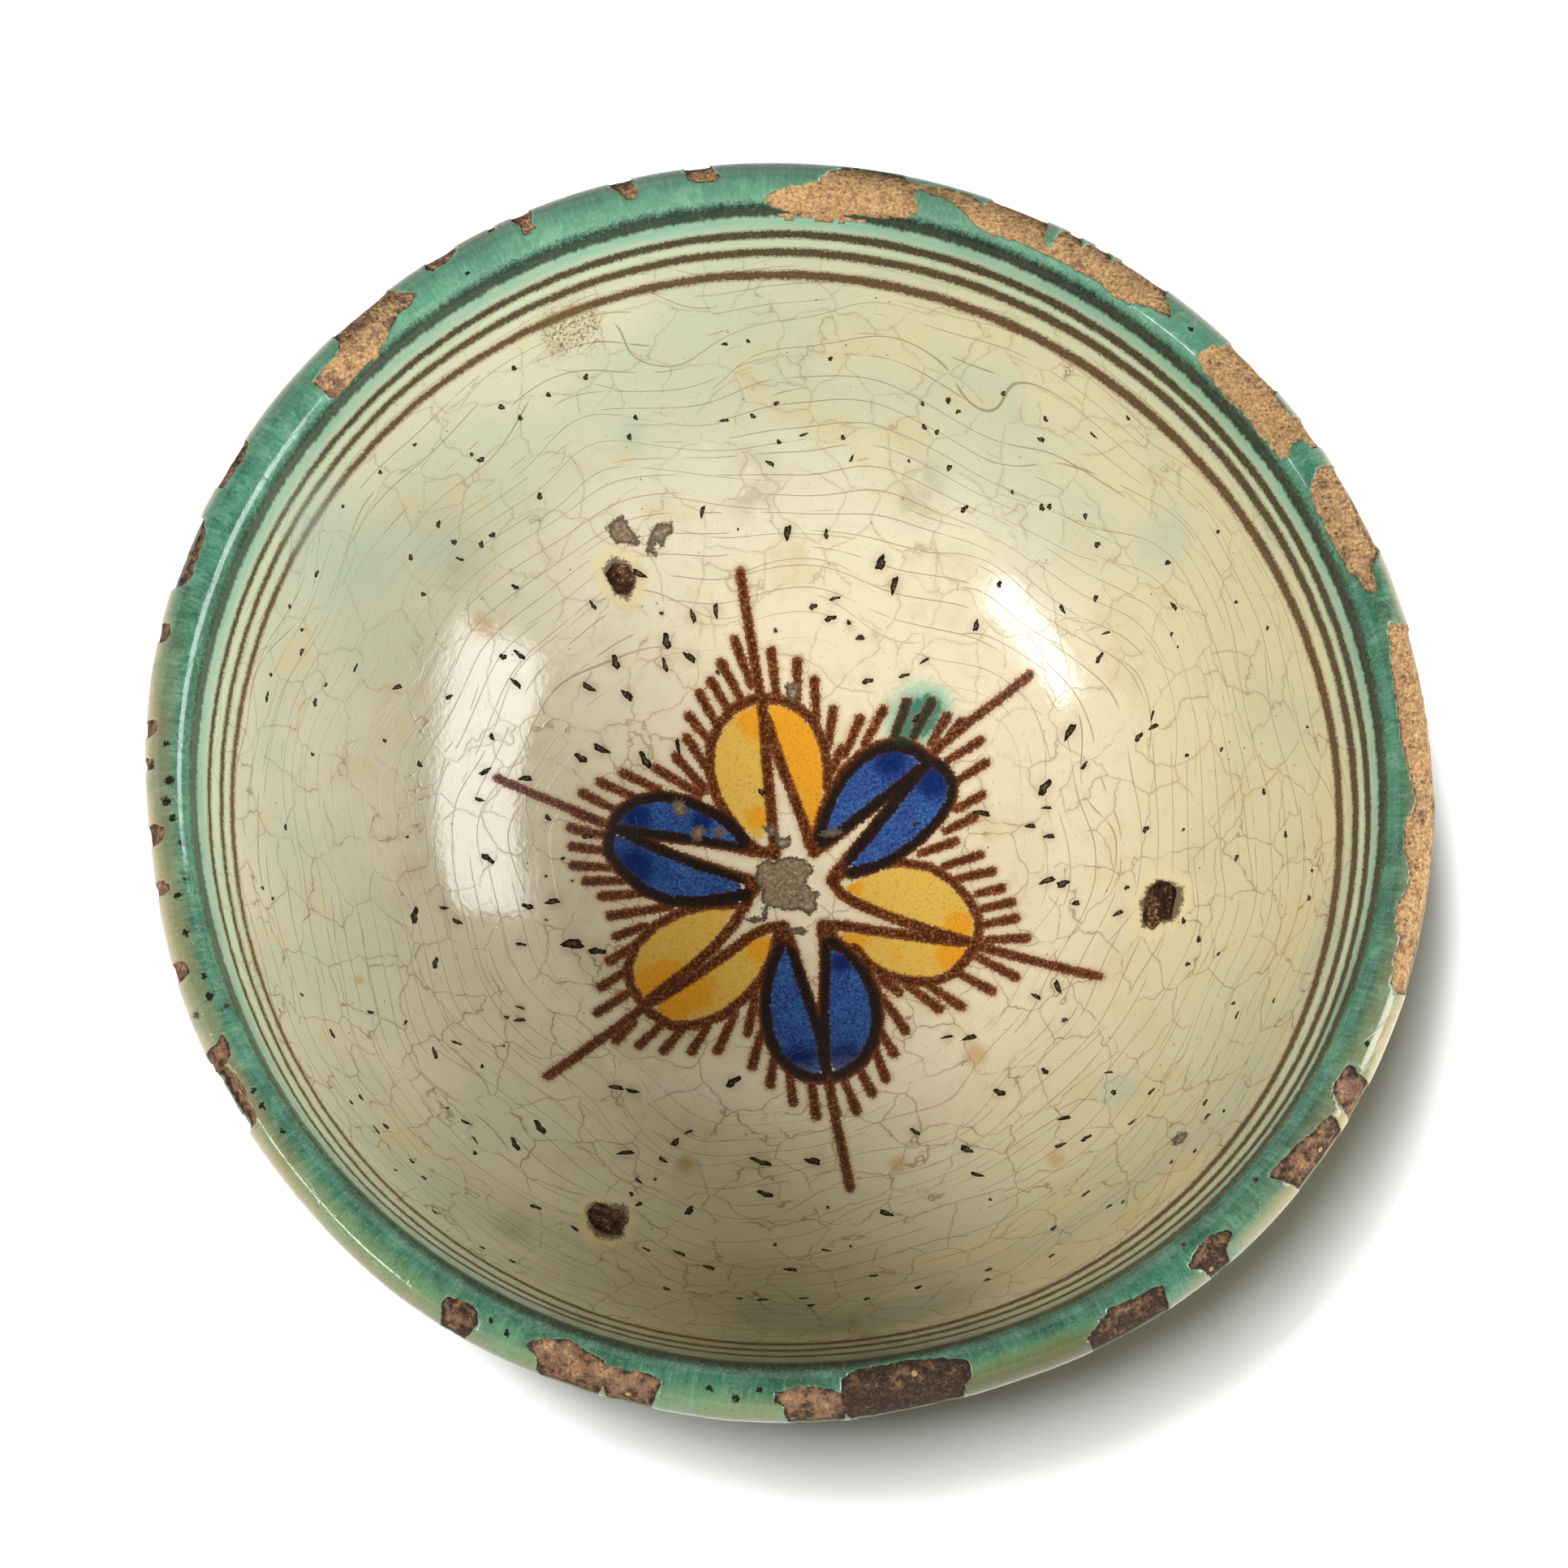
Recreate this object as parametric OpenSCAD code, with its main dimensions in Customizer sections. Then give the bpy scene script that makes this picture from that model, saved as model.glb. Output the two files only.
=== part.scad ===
// Footed bowl of thrown earthenware, glazed, with a six-petal rosette painted on its floor.
// Lengths are in millimetres and angles in degrees.
// The bowl stands on z = 0 and its axis is the z axis.

/* [Bowl] */
// Outside diameter over the glazed lip
rim_d = 280; // [250:1:310]
// Height from the table to the top of the lip
bowl_h = 120; // [108:1:132]
// Height of the glazed floor above the table
floor_z = 16; // [14:0.5:20]
// Thickness of the clay wall
wall_t = 6.4; // [5:0.1:8]
// Thickness of the rounded lip, glaze included
lip_d = 12; // [10:0.2:14]

/* [Foot] */
// Outside diameter of the foot ring
foot_d = 100; // [84:1:116]
// Thickness of the foot ring's wall
foot_wall = 8; // [6:0.5:12]
// Rounding of the foot ring's lower edges
foot_round = 1.6; // [0.6:0.1:2.4]
// Thickness of the slip between the foot ring and the bowl
slip_t = 0.8; // [0.4:0.1:1.4]
// Reach of the slip's fillet past both walls of the foot ring
slip_fillet = 3; // [1.5:0.1:4]

/* [Glaze] */
// Thickness of the glaze coats
glaze_t = 0.6; // [0.45:0.05:0.9]
// Depth to which the painted pigments sink into the glaze
paint_depth = 0.3; // [0.15:0.05:0.35]
// Drop of the green band's edge below the lip's centre, inside the bowl
green_drop = 0.8; // [0.4:0.1:3]
// Drop of the green band's edge below the lip, outside the bowl
green_skirt = 8; // [4:0.5:16]
// Least width of the bare clay between the foot ring's slip and the outer glaze
bare_w = 7; // [4:0.5:18]
// How far the dipped edge of the outer glaze wanders up from there
dip_wave = 7; // [1:0.5:12]

/* [Painted lines] */
// Width of the brown lines round the wall
line_w = 1.8; // [1:0.1:2.4]
// Spacing of the lines, measured down the wall
line_pitch = 6.2; // [4:0.1:8]
// Added spacing above the lowest line
low_line_extra = 0.9; // [0:0.1:3]

/* [Rosette] */
// Offset of the rosette from the bowl's axis, to the right
rosette_x = 1; // [-4:0.5:4]
// Offset of the rosette from the bowl's axis, to the back
rosette_y = -3.5; // [-5:0.5:5]
// Distance from the rosette's centre to the base of a petal
petal_base = 8; // [6:0.5:9]
// Distance from the rosette's centre to the tip of a petal
petal_tip = 42.5; // [38:0.5:48]
// Width of a petal's coloured area
petal_w = 25; // [20:0.5:26]
// Width of the brown line round a petal
outline_w = 2.4; // [1.6:0.1:2.8]
// Distance from the centre to the points of the bare star
star_tip = 30; // [26:0.5:33]
// Distance from the centre to the inner corners of the bare star
star_waist = 9; // [7.5:0.5:10]
// Width of the midribs and rays
rib_w = 2.2; // [1.4:0.1:2.6]
// Distance from the centre to the end of a ray
ray_tip = 73; // [62:0.5:80]
// Number of lashes round each petal
lash_count = 12; // [6:2:14]
// Length of a lash past the petal's outline
lash_l = 7.2; // [4:0.2:9]
// Width of a lash
lash_w = 2.3; // [1.4:0.1:2.6]

/* [Firing marks and wear] */
// Diameter of the scars left by the three points of the kiln stilt
stilt_d = 8; // [4:0.5:12]
// Distance of the stilt's points from its centre
stilt_r = 86; // [80:1:90]
// Offset of the stilt's centre from the bowl's axis, to the right
stilt_x = 0; // [-6:0.5:6]
// Offset of the stilt's centre from the bowl's axis, to the back
stilt_y = -11; // [-12:0.5:6]
// Reach of the flaked place in the rosette's middle
flake_r = 3.6; // [2:0.1:4]
// Depth below the lip's centre to which the chips in the rim go
chip_drop = 1.5; // [0:0.5:4]

/* [Hidden] */
$fn = 144;

clay_tan = "#b3926d";
slip_tan = "#a4845f";
cream_glaze = "#d9d4b4";
green_glaze = "#3f9079";
outer_cream = "#cfd3b4";
line_brown = "#5a3a22";
petal_yellow = "#e0aa3c";
petal_blue = "#25479a";

// The lip is round, and the inside is a part of a sphere through the floor and the lip's inner side
lip_r = lip_d / 2;
lip_x = rim_d / 2 - lip_r;
lip_z = bowl_h - lip_r;
mouth_r = lip_x - lip_r;
depth = lip_z - floor_z;
bowl_r = (mouth_r ^ 2 + depth ^ 2) / (2 * depth);
bowl_z = floor_z + bowl_r;
// Every coat and wall is a shell about the same centre
clay_in_r = bowl_r + glaze_t;
clay_mid_r = clay_in_r + wall_t / 2;
clay_out_r = clay_in_r + wall_t;
coat_out_r = clay_out_r + glaze_t;
paint_r = bowl_r + paint_depth;
// How far the wall runs up into the lip above the lip's centre
lip_join = lip_r / 3;

foot_out = foot_d / 2;
foot_in = foot_out - foot_wall;

// Angles about the sphere's centre, from straight down, where the coats begin and end
green_angle = acos((bowl_z - lip_z + green_drop) / bowl_r);
skirt_angle = acos((bowl_z - lip_z + lip_r + green_skirt) / coat_out_r);
bare_r = foot_out + slip_fillet + bare_w;
bare_angle = asin(bare_r / clay_out_r);
line_total = 4;
line_arc = line_w / bowl_r * 180 / PI;
pitch_arc = line_pitch / bowl_r * 180 / PI;
extra_arc = low_line_extra / bowl_r * 180 / PI;

// Directions of the petals about the rosette's centre, starting at the back and going clockwise
petal_angles = [98, 41, -19, -80, -139, -197];
petal_count = len(petal_angles);
petal_steps = 32;
// How much blunter the tip of a petal is than its base
petal_taper = 0.35;
rosette_at = [rosette_x, rosette_y];
half_turn = 180 / petal_count;
// Half of the angle at a point of the bare star, and at its waist
tip_half = atan2(star_waist * sin(half_turn), star_tip - star_waist * cos(half_turn));
waist_half = half_turn + tip_half;
// The edges of the star's brown border
border_tip = star_tip + rib_w / sin(tip_half);
border_waist = star_waist + rib_w / sin(waist_half);
// The lashes stand on this much of a petal's outline, in the outline's own angle
lash_from = 104;
lash_to = 256;
// How strongly the lashes fan out from the petal's direction
lash_fan = 0.45;
lash_round_steps = 4;

// Directions of the stilt's points about its centre
stilt_angles = [117, -1, -120];
stilt_at = [stilt_x, stilt_y];

// The rim's chips: first angle, last angle, and how far each reaches in from the rim's edge
chips = [[77, 92, 13], [52, 75, 9], [33, 47, 12], [19, 31, 10], [-19, 14, 9], [-32, -28, 6],
         [-40, -34, 10], [-52, -48, 9], [-62, -55, 10], [-91, -75, 13], [-113, -102, 11],
         [-122, -119, 7], [-155, -152, 6], [-147, -144, 5], [-176, -173, 5], [-171, -168, 5],
         [149, 153, 4], [156, 159, 4], [176, 183, 4], [128, 140, 12], [122, 125, 5],
         [113, 116, 5], [104, 107, 5], [96, 99, 5]];
// Angle between the points of a chip's inner edge, and the fewest stretches that it has
chip_step = 2;
chip_least_steps = 4;
// Share of a chip's reach that is left at its ends
chip_end = 0.35;
// Share of the reach by which the inner edge jumps in and out, and the turn that spreads the jumps
chip_jag = 0.35;
chip_jag_turn = 137;

// Number of stretches in the outer glaze's edge, and the turn between its two waves
dip_steps = 72;
dip_turn = 50;

// Height of the clay's underside at a distance from the axis
function under_z(r) = bowl_z - sqrt(clay_out_r ^ 2 - r ^ 2);

// Angle where a line's upper edge lies, for the line's number from 0 at the top
function line_angle(i) = green_angle - i * pitch_arc - (i == line_total - 1 ? extra_arc : 0);
// Direction half way between a petal and the next one
function between(i) =
    let (a = petal_angles[i], b = i + 1 < petal_count ? petal_angles[i + 1] : petal_angles[0] - 360)
    (a + b) / 2;

function polar(r, a) = [r * cos(a), r * sin(a)];

// Point of a petal's outline, grown by a margin: t is 0 at the base and 180 at the tip
function egg(t, grow) =
    let (from = petal_base - grow, to = petal_tip + grow, half_w = petal_w / 2 + grow)
    [from + (to - from) * (1 - cos(t)) / 2, half_w * sin(t) * (1 - petal_taper * cos(t))];

// Disc and wedge of the section, about the sphere's centre
module disc(r) {
    translate([0, bowl_z])
        circle(r);
}

module wedge(from, to) {
    far = 2 * coat_out_r;
    steps = 4;
    rim = [for (k = [0:steps]) let (a = from + (to - from) * k / steps) [far * sin(a), -far * cos(a)]];
    translate([0, bowl_z])
        polygon(concat([[0, 0]], rim));
}

// Section of a coat between two radii and two angles
module coat_section(inner_r, outer_r, from, to) {
    intersection() {
        wedge(from, to);
        difference() {
            disc(outer_r);
            disc(inner_r);
        }
    }
}

// Section of the bowl's wall and lip
module bowl_section(inner_r, outer_r, bead_r) {
    intersection() {
        square([rim_d, lip_z + lip_join]);
        difference() {
            disc(outer_r);
            disc(inner_r);
        }
    }
    translate([lip_x, lip_z])
        circle(bead_r);
}

module clay_section() {
    bowl_section(clay_in_r, clay_out_r, lip_r - glaze_t);
}

module clay_body() {
    color(clay_tan)
        rotate_extrude()
            clay_section();
}

// The foot ring is thrown apart and luted on with slip
module foot_section() {
    difference() {
        union() {
            translate([foot_in, foot_round])
                square([foot_wall, bowl_z]);
            translate([foot_in + foot_round, 0])
                square([foot_wall - 2 * foot_round, 2 * foot_round]);
            for (x = [foot_in + foot_round, foot_out - foot_round])
                translate([x, foot_round])
                    circle(foot_round);
        }
        disc(clay_out_r + slip_t);
        translate([0, bowl_z])
            square([rim_d, 2 * bowl_z]);
    }
}

module foot_ring() {
    color(clay_tan)
        rotate_extrude()
            foot_section();
}

// The slip fills the joint and stands as a small fillet on both sides of the ring
module luting_slip() {
    spread_in = foot_in - slip_fillet;
    spread_out = foot_out + slip_fillet;
    outline = [[spread_in, under_z(spread_in)],
               [foot_in, under_z(foot_in) - slip_t - slip_fillet],
               [foot_out, under_z(foot_out) - slip_t - slip_fillet],
               [spread_out, under_z(spread_out)],
               [spread_out, bowl_z],
               [spread_in, bowl_z]];
    color(slip_tan)
        rotate_extrude()
            difference() {
                polygon(outline);
                disc(clay_out_r);
                foot_section();
            }
}

// Flat outline of one chip: a ragged inner edge, closed outside the rim
module chip(from, to, reach) {
    steps = max(chip_least_steps, round((to - from) / chip_step));
    angles = [for (k = [0:steps]) from + (to - from) * k / steps];
    ragged = [for (k = [0:steps])
                 let (bulge = chip_end + (1 - chip_end) * sin(180 * k / steps),
                      jag = 1 - chip_jag * (1 + sin(chip_jag_turn * k + reach * to)) / 2)
                 polar(rim_d / 2 - reach * bulge * jag, angles[k])];
    outside = [for (k = [steps:-1:0]) polar(rim_d / 2 + lip_r, angles[k])];
    polygon(concat(ragged, outside));
}

module rim_glaze() {
    color(green_glaze)
        difference() {
            rotate_extrude()
                difference() {
                    bowl_section(bowl_r, coat_out_r, lip_r);
                    clay_section();
                    intersection() {
                        wedge(0, green_angle);
                        disc(clay_mid_r);
                    }
                    difference() {
                        wedge(0, skirt_angle);
                        disc(clay_mid_r);
                    }
                }
            translate([0, 0, lip_z - chip_drop])
                linear_extrude(lip_d)
                    for (c = chips)
                        chip(c[0], c[1], c[2]);
        }
}

// The bowl was dipped by hand, so the outer glaze ends in an edge that wanders round the foot
module outer_glaze() {
    edge = [for (k = [0:dip_steps - 1])
               let (a = k * 360 / dip_steps, lift = (2 + sin(3 * a) + sin(7 * a + dip_turn)) / 4)
               polar(bare_r + dip_wave * lift, a)];
    color(outer_cream)
        difference() {
            rotate_extrude()
                coat_section(clay_out_r, coat_out_r, bare_angle, skirt_angle);
            linear_extrude(lip_z)
                polygon(edge);
        }
}

// Section of one painted line, as far as its pigment has sunk in
module line_section(i) {
    coat_section(bowl_r, paint_r, line_angle(i) - line_arc, line_angle(i));
}

module rim_line(i) {
    color(line_brown)
        rotate_extrude()
            line_section(i);
}

// The rosette's flat pattern, before it is sunk into the glaze
module petal_shape(i, grow) {
    translate(rosette_at)
        rotate(petal_angles[i])
            polygon([for (k = [0:petal_steps - 1]) egg(k * 360 / petal_steps, grow)]);
}

module star_shape(tip, waist) {
    points = [for (i = [0:petal_count - 1]) each [polar(tip, petal_angles[i]), polar(waist, between(i))]];
    translate(rosette_at)
        polygon(points);
}

module ray_strips() {
    translate(rosette_at)
        for (a = petal_angles)
            rotate(a)
                translate([star_tip, -rib_w / 2])
                    square([ray_tip - star_tip, rib_w]);
}

module star_and_rays() {
    star_shape(border_tip, border_waist);
    ray_strips();
}

module all_petals(grow) {
    for (i = [0:petal_count - 1])
        petal_shape(i, grow);
}

// One lash: a strip with a round end, from its root on the outline
module lash(length, width) {
    end = [for (k = [0:lash_round_steps]) polar(width / 2, -90 + 180 * k / lash_round_steps)];
    straight = length - width / 2;
    polygon(concat([[-outline_w / 2, width / 2], [-outline_w / 2, -width / 2]],
                   [for (p = end) [straight + p[0], p[1]]]));
}

module lash_fans() {
    step = (lash_to - lash_from) / lash_count;
    translate(rosette_at)
        for (a = petal_angles, k = [0:lash_count - 1])
            let (t = lash_from + (k + 0.5) * step)
                rotate(a)
                    translate(egg(t, outline_w))
                        rotate((180 - t) * lash_fan)
                            lash(lash_l, lash_w);
}

// A flat pattern pressed down to the depth of the pigment
module sunk(inner_r) {
    intersection() {
        linear_extrude(lip_z)
            children();
        rotate_extrude()
            coat_section(inner_r, paint_r, 0, green_angle);
    }
}

module petal(i, shade) {
    color(shade)
        sunk(bowl_r)
            difference() {
                petal_shape(i, 0);
                star_and_rays();
            }
}

module petal_outlines() {
    color(line_brown)
        sunk(bowl_r)
            difference() {
                all_petals(outline_w);
                all_petals(0);
                star_and_rays();
            }
}

module petal_rays() {
    color(line_brown)
        sunk(bowl_r)
            difference() {
                star_and_rays();
                star_shape(star_tip, star_waist);
            }
}

module petal_lashes() {
    color(line_brown)
        sunk(bowl_r)
            difference() {
                lash_fans();
                all_petals(outline_w);
                ray_strips();
            }
}

// Places where the glaze has gone down to the clay: the stilt's scars and the flaked middle
module lost_glaze() {
    for (a = stilt_angles)
        translate(stilt_at + polar(stilt_r, a))
            circle(d = stilt_d);
    for (a = petal_angles)
        translate(rosette_at + polar(flake_r / 2, a + half_turn))
            circle(flake_r);
}

module inner_glaze() {
    color(cream_glaze)
        difference() {
            rotate_extrude()
                difference() {
                    coat_section(bowl_r, clay_in_r, 0, green_angle);
                    for (i = [0:line_total - 1])
                        line_section(i);
                }
            sunk(bowl_r - glaze_t)
                difference() {
                    union() {
                        all_petals(outline_w);
                        star_and_rays();
                        lash_fans();
                    }
                    star_shape(star_tip, star_waist);
                }
            linear_extrude(lip_z)
                lost_glaze();
        }
}

clay_body();
luting_slip();
foot_ring();
inner_glaze();
rim_glaze();
outer_glaze();
rim_line(0);  // rim_line_1
rim_line(1);  // rim_line_2
rim_line(2);  // rim_line_3
rim_line(3);  // rim_line_4
petal(0, petal_yellow);  // yellow_petal_back
petal(1, petal_blue);  // blue_petal_right
petal(2, petal_yellow);  // yellow_petal_right
petal(3, petal_blue);  // blue_petal_front
petal(4, petal_yellow);  // yellow_petal_left
petal(5, petal_blue);  // blue_petal_left
petal_outlines();
petal_rays();
petal_lashes();
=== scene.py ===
"""Footed earthenware bowl: cream glaze inside with a painted rosette, a chipped green rim and a foot ring."""
import functools
import math

import bpy
import numpy as np
from mathutils import Matrix, Vector


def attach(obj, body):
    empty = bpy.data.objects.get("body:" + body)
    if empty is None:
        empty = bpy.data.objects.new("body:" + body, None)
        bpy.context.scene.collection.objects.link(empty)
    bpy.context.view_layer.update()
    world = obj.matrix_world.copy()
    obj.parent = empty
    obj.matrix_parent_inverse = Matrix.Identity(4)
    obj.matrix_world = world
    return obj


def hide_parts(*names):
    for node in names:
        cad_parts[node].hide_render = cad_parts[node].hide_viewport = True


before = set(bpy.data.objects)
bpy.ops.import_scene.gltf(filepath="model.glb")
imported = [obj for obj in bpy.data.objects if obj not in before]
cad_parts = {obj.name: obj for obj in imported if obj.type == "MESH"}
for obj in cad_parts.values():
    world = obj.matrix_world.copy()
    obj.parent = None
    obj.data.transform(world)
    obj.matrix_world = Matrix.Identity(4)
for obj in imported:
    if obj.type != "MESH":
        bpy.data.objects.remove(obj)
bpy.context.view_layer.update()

# The bowl's measures, in millimetres. The inside is a part of a sphere, and the lip is round.
MM = 0.001
BOWL_R = 132.6
BOWL_Z = 148.6
LIP_R = 6.0
LIP_X = 134.0
LIP_Z = 114.0
GLAZE_T = 0.6
COAT_R = 140.2
FOOT_IN = 42.0
FOOT_OUT = 50.0
FOOT_ROUND = 1.6
RIM_R = 137  # mean distance of the rim from the axis

# Ways along the glaze's section: from the floor's middle up the inside, over the lip and down the outside
LIP_WAY = BOWL_R * math.acos((BOWL_Z - LIP_Z) / BOWL_R)
EDGE_WAY = LIP_WAY + LIP_R * math.pi
SEAM_WAY = 170.5
GREEN_WAY = 173.6
FLOOR_WAY = 88  # the painted rosette ends within this way
TURNS = 1200

# Where the wall bulges or gives in, inside and outside, and where the green begins higher: angle, spread, millimetres
INSIDE_BUMPS = [(280, 25, -1.5), (222, 20, 0.7)]
OUTSIDE_BUMPS = [(186, 12, -1.3), (238, 16, 1.4), (288, 13, -1.4)]
GREEN_BUMPS = [(90, 36, 1.8), (262, 54, 3.0)]

# The topmost brown line lies along the green. The three lower lines, painted by hand: their colour, and how far they
# lie below it at each of the angles
LINE_ANGLES = (0, 45, 90, 135, 180, 205, 225, 250, 275, 300, 330)
LINES = {
    "line_2": ("#2a1e13", (9.2, 9.2, 8.1, 8.7, 9.8, 9.0, 7.2, 8.8, 10.0, 8.4, 7.4)),
    "line_3": ("#3d2916", (15.3, 14.8, 14.4, 14.1, 15.8, 14.8, 12.8, 13.7, 16.0, 14.7, 14.0)),
    "line_4": ("#4f341d", (22.3, 22.6, 21.8, 20.5, 20.7, 20.0, 19.0, 19.6, 20.9, 20.2, 20.8)),
}

# Chips in the rim, read from the photo: soil from 0, clean clay, to 1, black with dirt;
# depth in millimetres below the glaze; and the outline as angle in degrees and distance from the axis.
CHIPS = [
    (0.12, 0.30, [(-20.7, 138.5), (-20, 143), (-10, 142.5), (-6, 142), (-3, 140), (-1, 143), (13.4, 143),
        (14.2, 134.6), (13.5, 133.5), (12, 133.3), (11, 132.6), (9, 132), (5, 132.1), (3.5, 131.9), (2, 132.6),
        (0, 133.8), (-1.5, 134.5), (-3, 135.2), (-4, 134.6), (-5, 133.1), (-6.5, 132.9), (-8, 133.5), (-9, 134.6),
        (-10, 135.4), (-11.5, 135.2), (-12.5, 133.8), (-14, 133.6), (-15, 134.4), (-16, 136), (-17, 135.7),
        (-19, 136.4), (-20, 137)]),
    (0.22, 0.35, [(16.8, 133), (18, 134.4), (19.6, 135.1), (20.5, 136.6), (22, 141), (30, 141), (30.6, 134.5),
        (30, 133), (29.6, 131), (28.5, 129.4), (26, 128.9), (23, 129.2), (20, 129.5), (19.7, 130.6), (18, 131.2)]),
    (0.10, 0.40, [(32.2, 136), (32.3, 141), (35.2, 141), (36, 136.6), (38.6, 136.5), (39.4, 141), (45, 141),
        (45.2, 135.3), (46.1, 134), (46, 132.3), (46.6, 130.7), (46.2, 129.7), (44.6, 128.5), (40, 128.2),
        (36, 128.3), (33.3, 128.6), (32.9, 130.2), (33.6, 132), (33.4, 135.2)]),
    (0.15, 0.35, [(50.6, 133), (51.4, 135), (52.5, 136.2), (52.8, 141), (57.5, 141), (58.4, 136.4), (60, 141),
        (61.4, 136.2), (62.6, 141), (63.8, 138), (64, 133), (64.4, 131.8), (64.9, 133.4), (65.4, 141), (70.8, 141),
        (71.4, 135.7), (73, 138), (74.8, 138.2), (76, 137.6), (78.6, 137.2), (78.2, 135.4), (76, 134.8), (74.4, 134),
        (73, 132.6), (71.4, 130.6), (70, 129.9), (66, 130.3), (62, 130.2), (57.4, 130), (56.4, 129.3), (55.2, 129.4),
        (54, 130.8), (52, 131.8)]),
    (0.12, 0.40, [(78.6, 137.2), (79.6, 139.4), (84.6, 139.6), (86, 137.4), (87, 134.6), (88.5, 133.4), (90, 133.2),
        (91, 132.2), (92.2, 130.7), (91.8, 129.2), (90, 128.3), (86, 128.1), (82, 128.4), (79.5, 128.6), (78, 129.4),
        (77.2, 130.6), (77.8, 132.8), (77.9, 135.4)]),
    (0.35, 0.25, [(96, 136), (96.8, 138), (97, 142.5), (99.7, 142.5), (99.4, 136.4), (98.5, 135), (97.2, 134.9)]),
    (0.30, 0.25, [(103.9, 136.4), (104.3, 138), (103.9, 143), (106.6, 143), (106.4, 138.5), (105.6, 136),
        (105.4, 134.6), (104.4, 134.7)]),
    (0.30, 0.25, [(113.7, 143.5), (113.9, 139), (114.4, 137), (114.1, 135.2), (115.4, 134.6), (115.7, 135.8),
        (115.4, 137), (116, 139.5), (115.8, 143.5)]),
    (0.55, 0.20, [(117.2, 143), (117.6, 139), (118.2, 138.6), (118.3, 143)]),
    (0.35, 0.30, [(121.2, 143.5), (121.7, 139), (122.6, 137.6), (124.8, 137.6), (125, 139.4), (124.4, 143.5)]),
    (0.38, 0.40, [(129.4, 144), (128.4, 139.5), (128, 137.8), (126.9, 135.4), (128, 134.3), (129.8, 133.8),
        (131, 132.8), (132.2, 131.4), (134, 130.4), (137, 130), (139.2, 130.3), (139.9, 131.4), (140, 136),
        (138.6, 136.4), (136.2, 136.8), (135.5, 138.4), (135, 144)]),
    (0.75, 0.30, [(147.2, 143.5), (147.9, 139), (149, 138.2), (151, 138.1), (152.7, 138.5), (152.8, 143.5)]),
    (0.60, 4.4, [(154.8, 143.5), (156, 139.2), (157, 137.6), (158.4, 136.9), (159.4, 136.3), (160.4, 137),
        (161.4, 136.2), (162.4, 137.4), (163.6, 143.5)]),
    (0.60, 0.25, [(165.8, 142), (166.2, 137.6), (167.4, 137.1), (168, 138.4), (167.7, 142)]),
    (0.55, 0.25, [(174.9, 142), (175.3, 136.6), (176.2, 136.1), (176.8, 137.6), (176.4, 142)]),
    (0.55, 0.25, [(178.5, 142), (178.8, 136.6), (179.7, 135.8), (180.1, 142)]),
    (0.50, 0.25, [(184.3, 142), (184.8, 136.3), (185.3, 134.4), (186.2, 134.3), (186.9, 136), (186.9, 142)]),
    (0.50, 0.25, [(189.7, 142), (190.3, 136), (190.8, 134.6), (191.4, 134.8), (191.7, 142)]),
    (0.50, 0.25, [(196.9, 142), (198, 136), (198.4, 135), (199.2, 135), (199.6, 137), (199.4, 142)]),
    (0.55, 0.35, [(206.6, 143), (206.2, 136), (205.7, 133.5), (206.8, 132.9), (207.8, 133.9), (208.4, 135.4),
        (208.4, 143)]),
    (0.50, 3.0, [(207.4, 144), (208, 136.4), (209.4, 135), (211, 134.6), (212.6, 135.2), (214, 135.6), (215.4, 144)]),
    (0.80, 0.25, [(237.6, 136.5), (238.2, 138.6), (238.8, 143), (240.8, 143), (241.3, 138.2), (241.5, 136.4),
        (241, 134.5), (240.2, 133.6), (239, 133.8), (238, 134.8)]),
    (0.58, 0.40, [(246, 136.2), (247.4, 137.6), (248.4, 143), (253, 143), (253.8, 138.2), (254.6, 143), (258.2, 143),
        (258.4, 137.5), (258.8, 135.4), (258, 133.8), (256.4, 133.5), (253.8, 134.2), (252.8, 133), (251.4, 132.6),
        (250, 131.3), (249, 131.6), (247.5, 133.2), (246.5, 134.6)]),
    (0.64, 0.35, [(268.6, 136.3), (269.6, 137.8), (270.4, 143), (274.8, 143), (275.2, 138.6), (275, 135.8),
        (274.2, 134.2), (272.5, 133.2), (270.5, 133.4), (269, 134.8)]),
    (1.08, 0.45, [(275.1, 139), (275.8, 143), (285.2, 143), (285.6, 138), (286.4, 136.4), (286.6, 134),
        (286.2, 132.3), (284, 130.6), (281, 129.6), (278, 129.6), (276, 130.6), (274.9, 131.8), (274.8, 134.5)]),
    (0.95, 0.40, [(296.9, 138), (297.6, 143), (304.6, 143.5), (305, 138.8), (305.6, 137.2), (304.5, 136),
        (303, 135.7), (301, 135.2), (300.2, 134.6), (299.2, 136.2)]),
    (0.88, 0.35, [(307.6, 137.4), (308.6, 138.6), (309.7, 143.5), (311.2, 143.5), (311.7, 139.5), (312.9, 137.8),
        (312.8, 136.2), (311.5, 135), (310, 134.8), (308.6, 136)]),
    (0.74, 0.40, [(318.8, 135), (319.5, 137.4), (320.3, 143.5), (326, 143.5), (327, 138.6), (326.8, 137.3),
        (325.2, 136.6), (324, 136), (322.5, 135), (321, 134.6), (319.2, 134.3)]),
    (0.62, 0.30, [(327.6, 143.5), (327.9, 138), (328.4, 136.4), (329, 134.8), (331, 135), (331.9, 136), (331.2, 138),
        (331.4, 143.5)]),
]
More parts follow.
